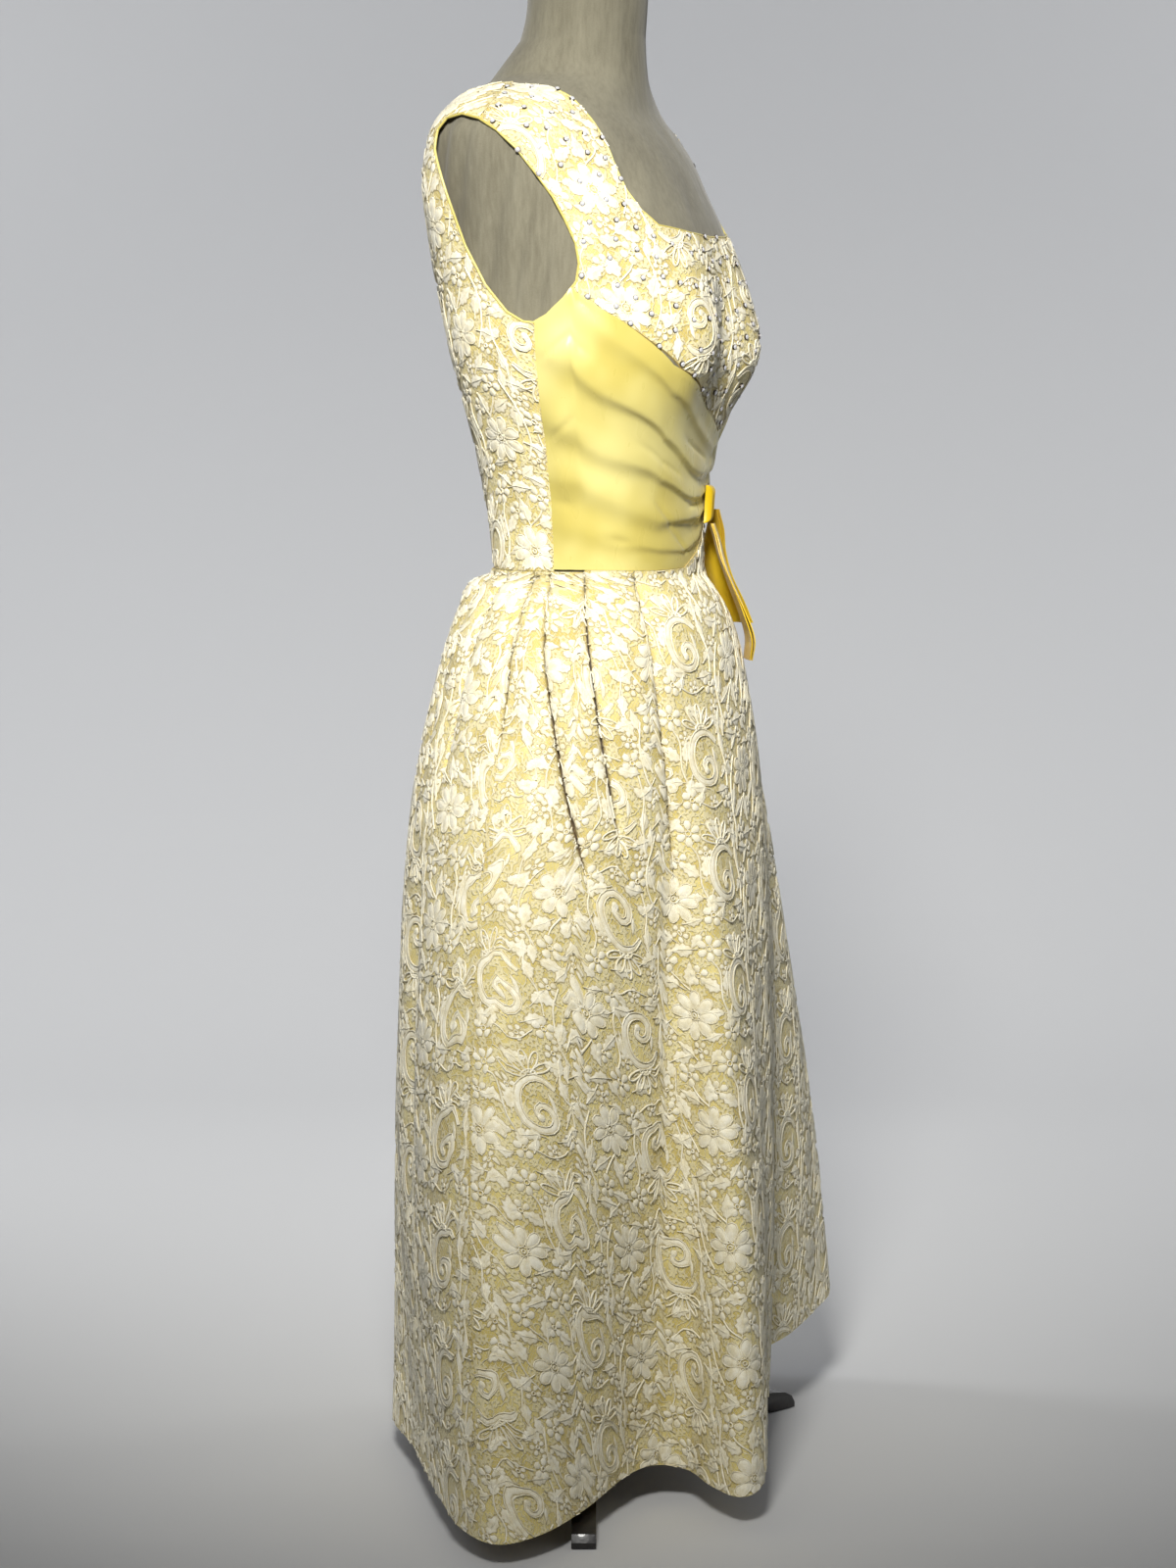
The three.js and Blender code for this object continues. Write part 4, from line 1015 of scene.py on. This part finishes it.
# %% One repeat of lace
class Chart:
    """Collects flat motifs in millimetres; the third coordinate is the height above the net."""

    def __init__(self):
        self.verts, self.faces = [], []

    def add(self, verts, faces):
        n = len(self.verts)
        self.verts += [tuple(v) for v in verts]
        self.faces += [tuple(int(i) + n for i in f) for f in faces]

    def ribbon(self, path, width, height=0.85, closed=False):
        """A band along a path: a thin one rises to one ridge and a wide one has a flat top."""
        path = np.asarray(path, float)
        if closed:
            way = np.roll(path, -1, 0) - np.roll(path, 1, 0)
        else:
            way = np.gradient(path, axis=0)
        way /= np.linalg.norm(way, axis=1, keepdims=True) + 1e-9
        side = np.stack([-way[:, 1], way[:, 0]], 1) * (np.broadcast_to(width, len(path)) / 2)[:, None]
        level = lambda p, z: np.column_stack([p, np.full(len(p), z)])
        ridge = (0,) if np.max(width) < 2 else (-0.4, 0.4)
        verts = np.stack([level(path - side, 0.0), *[level(path + side * r, height) for r in ridge],
                          level(path + side, 0.0)], 1).reshape(-1, 3)
        last, n = len(path) if closed else len(path) - 1, len(ridge) + 2
        here_next = [(n * i, n * ((i + 1) % len(path))) for i in range(last)]
        self.add(verts, [(a + k, b + k, b + k + 1, a + k + 1) for a, b in here_next for k in range(n - 1)])

    def patch(self, outline, height=0.5, plain=False):
        """A filled shape: a plain one is a low cone, the others have a rim and a hollow."""
        outline = np.asarray(outline, float)
        n, centre, foot = len(outline), outline.mean(0), 0.05
        verts = [(*p, foot) for p in outline]
        if plain:
            self.add(verts + [(*centre, height * 1.3)], [(i, (i + 1) % n, n) for i in range(n)])
            return
        inner = centre + (outline - centre) * 0.72
        verts += [(*p, height) for p in inner] + [(*centre, height * 0.55)]
        faces = [(i, (i + 1) % n, n + (i + 1) % n, n + i) for i in range(n)]
        faces += [(n + i, n + (i + 1) % n, 2 * n) for i in range(n)]
        self.add(verts, faces)


def turned(points, angle, at):
    """Points turned by an angle about the origin and moved to a place."""
    c, s = math.cos(angle), math.sin(angle)
    return np.asarray(points) @ np.array([[c, s], [-s, c]]) + np.asarray(at, float)


def round_steps(steps): return np.linspace(0, 2 * math.pi, steps, endpoint=False)


def ellipse(at, half_wide, half_high, angles):
    return np.stack([at[0] + half_wide * np.cos(angles), at[1] + half_high * np.sin(angles)], 1)


def petal(length, width, steps, start=0.0):
    """A drop shape along x, pointed at its start."""
    a = round_steps(steps)
    x = start + length * (1 - np.cos(a)) / 2
    return np.stack([x, width / 2 * np.sin(a) * np.sin(a / 2) ** 0.5], 1)


def flower(chart, at, radius, petals, turn=0.0):
    """Petals round a ring. A large flower has corded petals and a second ring."""
    large = radius > 20
    for k in range(petals):
        angle = turn + 2 * math.pi * k / petals
        shape = petal(radius * 0.82, radius * 4.3 / petals, 10 if large else 7, radius * 0.2)
        shape = turned(shape, angle, at)
        chart.patch(shape, 0.7, plain=radius < 11)
        if large:
            chart.ribbon(shape, 1.5, 1.05, closed=True)
    for r in ((0.2, 0.08) if large else (0.2,)):
        chart.ribbon(ellipse(at, radius * r, radius * r, round_steps(7)), 1.6, 1.15, closed=True)


def leaf(chart, at, angle, length, teeth=4):
    """A saw-edged leaf with a rib along its middle."""
    x, width, angle = np.linspace(0, 1, 2 * teeth + 1), length * 0.56, math.radians(angle)
    edge = np.sin(np.pi * x ** 0.8) * width / 2 * np.where(np.arange(len(x)) % 2, 1.16, 0.8)
    upper, lower = np.stack([x * length, edge], 1), np.stack([x * length - 1.2, -edge * 0.92], 1)
    chart.patch(turned(np.concatenate([upper, lower[-2:0:-1]]), angle, at), 0.55)
    rib = [(-4, 0), (length * 0.3, 0.8), (length * 0.65, -0.4), (length * 0.95, 0)]
    chart.ribbon(turned(rib, angle, at), 1.3, 1.05)


def scroll(chart, at):
    """A flat band that curls in to a ball, corded along both edges, and a crescent beside it."""
    hook = np.array([(-22, 16), (-12, 25), (2, 27), (14, 20), (20, 4), (18, -13), (8, -23), (-6, -23),
                     (-14, -14), (-11, -3), (-2, 0), (4, -6), (1, -12)], float)
    steps = np.linspace(0, len(hook) - 1, 25)
    path = np.stack([curve_through(np.arange(len(hook)), hook[:, k])(steps) for k in (0, 1)], 1) + at
    width = np.interp(steps, [0, 2, 9, 12], [3, 7.5, 7, 4])
    chart.ribbon(path, width, 0.5)
    way = np.gradient(path, axis=0)
    way /= np.linalg.norm(way, axis=1, keepdims=True)
    side = np.stack([-way[:, 1], way[:, 0]], 1) * (width / 2)[:, None]
    chart.ribbon(path + side, 1.5, 1.15)
    chart.ribbon(path - side, 1.5, 1.15)
    chart.patch(ellipse(path[-1], 4.2, 4.2, round_steps(8)), 0.9)
    crescent = [(0, 0), (6, 3), (14, 3.4), (22, 0), (14, -1), (7, -1)]
    chart.patch(turned(crescent, math.radians(80), (at[0] - 17, at[1] - 8)), 0.7)


def fan(chart, at, radius=24):
    """Five open loops with a small petal in each, on a curved stem."""
    for degrees in (158, 124, 90, 56, 22):
        angle = math.radians(degrees)
        chart.ribbon(turned(petal(radius, 8.6, 12, 2.5), angle, at), 2.3, 1.0, closed=True)
        small = petal(radius * 0.5, 2.6, 7, radius * 0.36)
        chart.patch(turned(small, angle, at), 0.6, plain=True)
    chart.ribbon(ellipse(at, 8, 6, np.radians(np.linspace(-10, 190, 11))), 2.2, 1.1)


# %% What grows where in the repeat
# Size of one column's repeat in mm, and how much smaller the motifs are laid than charted
ACROSS, DOWN, SHRINK = 132.3, 105.3, 0.9
# Small flowers (x, y, radius, petals) and leaves (x, y, angle, length)
SMALL_FLOWERS = [(76, 96, 14, 6), (124, 86, 13, 5), (66, 12, 12, 5), (8, 10, 12, 5), (92, 70, 11, 5),
                 (138, 8, 10, 5), (6, 104, 10, 5), (62, 74, 9, 5), (142, 60, 10, 5), (36, 8, 9, 5),
                 (104, 112, 10, 5)]
LEAVES = [(66, 50, 100, 24), (72, 52, 40, 26), (104, 58, 100, 28), (114, 58, 25, 28), (134, 40, 70, 28),
          (134, 24, -25, 24), (92, 96, -5, 28), (140, 100, 165, 26), (62, 34, -70, 22),
          (26, 18, 175, 26), (44, 22, 10, 24), (10, 80, 115, 24), (4, 58, 80, 24), (12, 34, 140, 22),
          (58, 104, 190, 26), (82, 112, -50, 20), (142, 82, 80, 22), (112, 104, 40, 24),
          (72, 30, 10, 18), (50, 20, -60, 18), (20, 94, 200, 22), (96, 6, 170, 20)]
STEMS = [((66, 24), (72, 44), (70, 70), (76, 84)), ((104, 55), (116, 66), (122, 74)),
         ((4, 22), (2, 44), (8, 66), (4, 92)), ((128, 8), (140, 30), (144, 60), (138, 90)),
         ((20, 8), (40, 2), (58, 10))]


def half_repeat(chart):
    scroll(chart, (38, 52))
    fan(chart, (38, 82))
    flower(chart, (104, 30), 25, 8, 0.2)
    for x, y, radius, petals in SMALL_FLOWERS:
        flower(chart, (x, y), radius, petals, x)
    for x, y, angle, length in LEAVES:
        leaf(chart, (x, y), angle, length)
    for stem in STEMS:
        numbers, steps = np.arange(len(stem)), np.linspace(0, len(stem) - 1, 10)
        line = [curve_through(numbers, column)(steps) for column in np.array(stem, float).T]
        chart.ribbon(np.stack(line, 1), 2.0, 0.95)


def lace_repeat():
    """Two columns of the lace: as charted, and beside it turned upside down and half a repeat higher."""
    chart = Chart()
    half_repeat(chart)
    verts, n = np.array(chart.verts) * [SHRINK, SHRINK, 1], len(chart.verts)
    other = verts * [1, -1, 1] + [ACROSS, DOWN * 1.5, 0]
    mesh = bpy.data.meshes.new("lace_repeat")
    faces = chart.faces + [tuple(i + n for i in reversed(f)) for f in chart.faces]
    mesh.from_pydata((np.concatenate([verts, other]) / 1000).tolist(), [], faces)
    mesh.polygons.foreach_set("use_smooth", [True] * len(faces))
    obj = link(bpy.data.objects.new("lace_repeat", mesh))
    print("triangles in a repeat:", sum(len(f) - 2 for f in chart.faces))
    return obj


# %% [markdown]
# ## Laying the lace on the cloth with Geometry Nodes
# The repeat is instanced on a flat grid that covers the cloth's own coordinates. Sample UV
# Surface then looks up where each flat point lies on the worn cloth, so the lace bends round
# every fold. Points that fall outside the cloth are deleted, and so are those deep in a pressed
# pleat, where the two sides of the fold touch. The tree ends in a plain mesh that carries each
# point's height above the net, which the shader uses to paint shade at the lace's edges.


# %% Geometry Nodes helpers
def group(name, sockets):
    tree = bpy.data.node_groups.new(name, "GeometryNodeTree")
    tree.interface.new_socket("Geometry", in_out="INPUT", socket_type="NodeSocketGeometry")
    for label, kind in sockets:
        tree.interface.new_socket(label, in_out="INPUT", socket_type="NodeSocket" + kind)
    tree.interface.new_socket("Geometry", in_out="OUTPUT", socket_type="NodeSocketGeometry")
    start = tree.nodes.new("NodeGroupInput")
    inputs = {s.name: Maths(tree, s) for s in start.outputs if s.name}
    return tree, inputs


def finish_group(tree, result):
    end = tree.nodes.new("NodeGroupOutput")
    tree.links.new(result.socket, end.inputs[0])


def run_group(tree, name, source, values):
    """Run a node group on a copy of an object's mesh and keep what it makes."""
    obj = link(bpy.data.objects.new(name, source.data.copy()))
    modifier = obj.modifiers.new("nodes", "NODES")
    modifier.node_group = tree
    for item in tree.interface.items_tree:
        if item.in_out == "INPUT" and item.name in values:
            modifier[item.identifier] = values[item.name]
    bake(obj)
    return obj


def outer_face(g):
    """The faces of a cloth that are seen: those with material 0."""
    index = g.node("GeometryNodeInputMaterialIndex")
    outside = index.node("FunctionNodeCompare", {"data_type": "INT", "operation": "EQUAL"},
                         {2: index, 3: 0})
    return g.node("GeometryNodeSeparateGeometry", {"domain": "FACE"}, {"Geometry": g, "Selection": outside})


def lace_group():
    tree, g = group("lace_over_cloth", [("Repeat", "Object"), ("Origin", "Vector"), ("Columns", "Int"),
                                        ("Rows", "Int"), ("Width", "Float"), ("Length", "Float"),
                                        ("Material", "Material")])
    face = outer_face(g["Geometry"])
    grid = face.node("GeometryNodeMeshGrid", {}, {"Size X": g["Width"], "Size Y": g["Length"],
                                                  "Vertices X": g["Columns"], "Vertices Y": g["Rows"]})
    grid = grid.node("GeometryNodeSetPosition", {}, {"Geometry": grid, "Offset": g["Origin"]})
    repeat = grid.node("GeometryNodeObjectInfo", {}, {"Object": g["Repeat"]}, out=4)
    laid = grid.node("GeometryNodeInstanceOnPoints", {}, {"Points": grid, "Instance": repeat})
    laid = laid.node("GeometryNodeRealizeInstances", {}, {"Geometry": laid})
    in_pleat, relief, clear = 0.42, 1.55, 0.00015
    x, y = laid.node("GeometryNodeInputPosition").parts()
    height = Maths(tree, x.socket.node.outputs[2])
    flat, vector = x.combine(x, y, 0.0), {"data_type": "FLOAT_VECTOR"}

    def layer(name):
        return face.node("GeometryNodeInputNamedAttribute", vector, {"Name": name})

    def sample(value):
        return face.node("GeometryNodeSampleUVSurface", vector,
                         {"Mesh": face, "Value": value, "UV Map": layer("cloth"), "Sample UV": flat})
    on = sample(face.node("GeometryNodeInputPosition"))
    normal = sample(face.node("GeometryNodeInputNormal"))
    folds = sample(layer("folds")).parts()[0]
    sunk = folds.node("FunctionNodeCompare", {"data_type": "FLOAT", "operation": "GREATER_THAN"},
                      {0: folds, 1: in_pleat})
    missing = on.node("FunctionNodeBooleanMath", {"operation": "NOT"},
                      {0: Maths(tree, on.socket.node.outputs[1])})
    missing = missing.node("FunctionNodeBooleanMath", {"operation": "OR"}, {0: missing, 1: sunk})
    kept = laid.node("GeometryNodeDeleteGeometry", {"domain": "POINT"},
                     {"Geometry": laid, "Selection": missing})
    kept = kept.node("GeometryNodeStoreNamedAttribute", {"data_type": "FLOAT", "domain": "POINT"},
                     {"Geometry": kept, "Name": "relief", "Value": height * 1000.0})
    lift = normal.node("ShaderNodeVectorMath", {"operation": "SCALE"},
                       {0: normal, "Scale": height * relief + clear})
    raised = on.node("ShaderNodeVectorMath", {"operation": "ADD"}, {0: on, 1: lift})
    kept = kept.node("GeometryNodeSetPosition", {}, {"Geometry": kept, "Position": raised})
    kept = kept.node("GeometryNodeSetMaterial", {}, {"Geometry": kept, "Material": g["Material"]})
    finish_group(tree, kept)
    return tree


def lace_on(cloth, name, shift):
    """Lay enough repeats for the cloth's own coordinates, the chart's corner moved by shift metres."""
    uv = np.zeros(len(cloth.data.loops) * 2)
    cloth.data.uv_layers["cloth"].data.foreach_get("uv", uv)
    shown = np.zeros(len(cloth.data.polygons), int)
    cloth.data.polygons.foreach_get("material_index", shown)
    loops = np.repeat(shown == 0, [p.loop_total for p in cloth.data.polygons])
    uv = uv.reshape(-1, 2)[loops]
    low, high = uv.min(0), uv.max(0)
    step = np.array([2 * ACROSS, DOWN]) / 1000
    first = np.floor((low - shift) / step) - [0, 1]
    count = np.ceil((high - shift) / step) - first
    size = (count - 1) * step
    corner = first * step + shift
    values = {"Repeat": REPEAT, "Origin": (*(corner + size / 2), 0.0), "Columns": int(count[0]),
              "Rows": int(count[1]), "Width": float(size[0]), "Length": float(size[1]),
              "Material": LACE}
    made = run_group(LACE_GROUP, name, cloth, values)
    print(name, "triangles:", sum(len(p.vertices) - 2 for p in made.data.polygons))
    return cloth, made


REPEAT = lace_repeat()
LACE_GROUP = lace_group()
LACES = [lace_on(front, "cords_front", (0.02, 0.03)),
         lace_on(back_right, "cords_back_right", (0.05, 0)),
         lace_on(back_left, "cords_back_left", (0.05, 0)),
         lace_on(skirt_front, "cords_skirt_front", (0.03, -0.02)),
         lace_on(skirt_right, "cords_skirt_right", (0.08, -0.05)),
         lace_on(skirt_left, "cords_skirt_left", (0.04, -0.07))]

# %% [markdown]
# ## Rhinestones, piping and the zip's teeth
# A rhinestone is a round metal cup with a cut stone in it. Geometry Nodes scatter them over the
# front of the bodice with a least distance between two. Satin piping runs round the openings.


# %% Rhinestones
# Cup, girdle and crown: segments, lower and upper radius, height, place of the middle, material
STONE_RINGS = [(12, 2.8, 2.4, 1.5, 0.75, 0), (8, 2.2, 2.2, 0.3, 1.55, 1), (8, 2.2, 1.1, 0.8, 2.05, 1)]


def stone():
    mesh = bpy.data.meshes.new("stone")
    bm = bmesh.new()
    for segments, wide, narrow, deep, at, index in STONE_RINGS:
        made = bmesh.ops.create_cone(bm, cap_ends=True, segments=segments, radius1=wide / 1000,
                                     radius2=narrow / 1000, depth=deep / 1000)
        bmesh.ops.translate(bm, vec=(0, 0, at / 1000), verts=made["verts"])
        for v in made["verts"]:
            for f in v.link_faces:
                f.material_index = index
    bm.to_mesh(mesh)
    bm.free()
    mesh.materials.append(SILVER)
    mesh.materials.append(STONE)
    return link(bpy.data.objects.new("stone", mesh))


def stone_group():
    tree, g = group("stones_on_cloth", [("Stone", "Object"), ("Distance", "Float"), ("Seed", "Int"),
                                        ("Cup", "Material"), ("Glass", "Material")])
    face = outer_face(g["Geometry"])
    points = face.node("GeometryNodeDistributePointsOnFaces", {"distribute_method": "POISSON"},
                       {"Mesh": face, "Distance Min": g["Distance"], "Density Max": 9000.0,
                        "Seed": g["Seed"]})
    turn = Maths(tree, points.socket.node.outputs[2])
    item = points.node("GeometryNodeObjectInfo", {}, {"Object": g["Stone"]}, out=4)
    made = points.node("GeometryNodeInstanceOnPoints", {},
                       {"Points": points, "Instance": item, "Rotation": turn})
    made = made.node("GeometryNodeRealizeInstances", {}, {"Geometry": made})
    index = made.node("GeometryNodeInputMaterialIndex")
    for number, label in ((0, "Cup"), (1, "Glass")):
        which = index.node("FunctionNodeCompare", {"data_type": "INT", "operation": "EQUAL"},
                           {2: index, 3: number})
        made = made.node("GeometryNodeSetMaterial", {},
                         {"Geometry": made, "Selection": which, "Material": g[label]})
    finish_group(tree, made)
    return tree


STONE_OBJECT = stone()
stones = run_group(stone_group(), "rhinestones", front,
                   {"Stone": STONE_OBJECT, "Distance": 0.0175, "Seed": 7, "Cup": SILVER, "Glass": STONE})
print("rhinestone faces:", len(stones.data.polygons))
for spare in (REPEAT, STONE_OBJECT):
    bpy.data.objects.remove(spare)


# %% Piping, and the zip's teeth
def dense(points, step=2.0):
    """More points along a drawn line, a step in mm apart."""
    made = []
    for p, q in zip(points[:-1], points[1:]):
        n = max(1, int(math.hypot(q[0] - p[0], q[1] - p[1]) / step))
        made += [(p[0] + (q[0] - p[0]) * k / n, p[1] + (q[1] - p[1]) * k / n) for k in range(n)]
    return np.array(made + [points[-1]], float)


def edge_on_cloth(flat, axis, sign):
    """Where a drawn edge meets the middle of the bodice's wall: axis 0 looks from the side, 1 from
    the front or back."""
    goal = flat.copy()
    for _ in range(5):
        start = np.zeros((len(flat), 3))
        if axis == 0:
            start[:, 1:] = goal
        else:
            start[:, 0], start[:, 1], start[:, 2] = goal[:, 0], RIDGE_Y, goal[:, 1]
        inside, outside = np.zeros(len(flat)), np.full(len(flat), 300.0)
        ray = np.eye(3)[axis] * sign
        for _ in range(30):
            t = (inside + outside) / 2
            within = form_field(start + ray * t[:, None]) < 0
            inside, outside = np.where(within, t, inside), np.where(within, outside, t)
        hit = start + ray * inside[:, None]
        point = hit + form_normal(hit) * (REST + WALL * 0.6 + stand_off(hit))[:, None]
        seen = point[:, 1:] if axis == 0 else point[:, [0, 2]]
        goal = goal + 0.8 * (flat - seen)
    good = (form_field(start) < 0) & (np.linalg.norm(flat - seen, axis=1) < 1.5)
    return point[good]


def tube(name, lines, radius, finish, closed=False):
    data = bpy.data.curves.new(name, "CURVE")
    data.dimensions, data.bevel_depth, data.bevel_resolution = "3D", radius / 1000, 2
    data.use_fill_caps = True
    for line in lines:
        spline = data.splines.new("POLY")
        spline.points.add(len(line) - 1)
        spline.points.foreach_set("co", np.column_stack([metres(line), np.ones(len(line))]).ravel())
        spline.use_cyclic_u = closed
    curve = link(bpy.data.objects.new(name, data))
    mesh = bpy.data.meshes.new_from_object(curve)
    bpy.data.objects.remove(curve)
    mesh.materials.clear()
    mesh.materials.append(finish)
    mesh.polygons.foreach_set("use_smooth", [True] * len(mesh.polygons))
    return link(bpy.data.objects.new(name, mesh))


ARM_LOOP = dense(ARMHOLE + ARMHOLE[:1])[:-1]
arms = [edge_on_cloth(ARM_LOOP, 0, side) for side in (-1, 1)]
arm_piping = tube("arm_piping", arms, 1.25, SATIN, closed=True)
necks = [edge_on_cloth(dense(mirrored(edge)), 1, side)
         for edge, side in ((FRONT_NECK, -1), (BACK_NECK, 1))]
neck_piping = tube("neck_piping", necks, 1.1, SATIN)
ZIP_Z = np.arange(872, 1231, 2.4)
BOX_FACES = [(0, 1, 3, 2), (4, 6, 7, 5), (0, 4, 5, 1), (2, 3, 7, 6), (0, 2, 6, 4), (1, 5, 7, 3)]


def zip_teeth():
    """Teeth in turn to the right and to the left of the middle of the back."""
    verts, faces = [], []
    on = torso(180, ZIP_Z, 0, REST + WALL + 0.15)
    for k, p in enumerate(on):
        shift = 0.9 if k % 2 else -0.9
        ends, n = (shift - 1.5, shift + 1.5), len(verts)
        verts += [(x, p[1] + b, p[2] + c) for x in ends for b in (-0.5, 0.55) for c in (-0.6, 0.6)]
        faces += [tuple(n + i for i in f) for f in BOX_FACES]
    mesh = bpy.data.meshes.new("zip_teeth")
    mesh.from_pydata(metres(verts).tolist(), [], faces)
    mesh.materials.append(ZIP_METAL)
    obj = link(bpy.data.objects.new("zip_teeth", mesh))
    tidy(obj, 30)
    return obj


teeth = zip_teeth()

# %% [markdown]
# ## What stands for what
# Every piece moves with the one body, and the solid it stands for is hidden. Each cloth's shown
# area is printed beside the size it was cut to.

# %% Pieces standing in for the solids
STANDS_FOR = [
    (form, "form_torso", "jersey"), (front, "bodice_front", "lace"),
    (back_right, "bodice_back_right", "lace"),
    (back_left, "bodice_back_left", "lace"), (drape_right, "midriff_drape_right", "satin"),
    (drape_left, "midriff_drape_left", "satin"), (skirt_front, "skirt_front", "lace"),
    (skirt_right, "skirt_back_right", "lace"), (skirt_left, "skirt_back_left", "lace"),
    (knot, "bow_knot", "gold_satin"), (tail_front, "bow_tail_front", "gold_satin"),
    (tail_side, "bow_tail_side", "gold_satin"), (pull, "zip_pull", "zip_metal"),
    (pole, "stand_pole", "stand_iron"), (base, "stand_base", "stand_iron")]
for obj, node, slot in STANDS_FOR:
    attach(obj, "root")
    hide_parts(node)

TRIM = [(stones, "lace"), (arm_piping, "satin"), (neck_piping, "satin"), (teeth, "zip_metal")]
for obj, slot in [(cords, "lace") for _, cords in LACES] + TRIM:
    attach(obj, "root")

# Width and length each cloth was cut to, in metres, its flat area and how it hangs
SHEETS = [
    (front, (0.46, 0.36), 0.078, "stretched", ["form_torso"]),
    (back_right, (0.27, 0.49), 0.088, "stretched", ["form_torso"]),
    (back_left, (0.27, 0.49), 0.088, "stretched", ["form_torso"]),
    (drape_right, (0.28, 0.3), 0.056, "gathered", ["form_torso"]),
    (drape_left, (0.2, 0.3), 0.036, "gathered", ["form_torso"]),
    (skirt_front, (1.08, 0.9), 0.66, "gathered", ["form_torso"]),
    (skirt_right, (0.44, 0.88), 0.3, "gathered", ["form_torso"]),
    (skirt_left, (0.44, 0.88), 0.3, "gathered", ["form_torso"]),
    (knot, (0.03, 0.04), None, "folded", ["midriff_drape_right"]),
    (tail_front, (0.12, 0.14), 0.0125, "folded", ["bow_knot"]),
    (tail_side, (0.1, 0.12), 0.0085, "folded", ["bow_knot"])]
for obj, flat, area, held, rests in SHEETS:
    shown = sum(p.area for p in obj.data.polygons) / 2
    print(obj.name, "shows", round(shown, 4), "m2, cut", area or round(flat[0] * flat[1], 4))
    on_it = [cords for cloth, cords in LACES if cloth is obj]
    if obj is front:
        on_it += [stones, arm_piping, neck_piping]

# %% Sizes
import json
low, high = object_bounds()
print("visual box", [round(v, 4) for v in (*low, *high)])
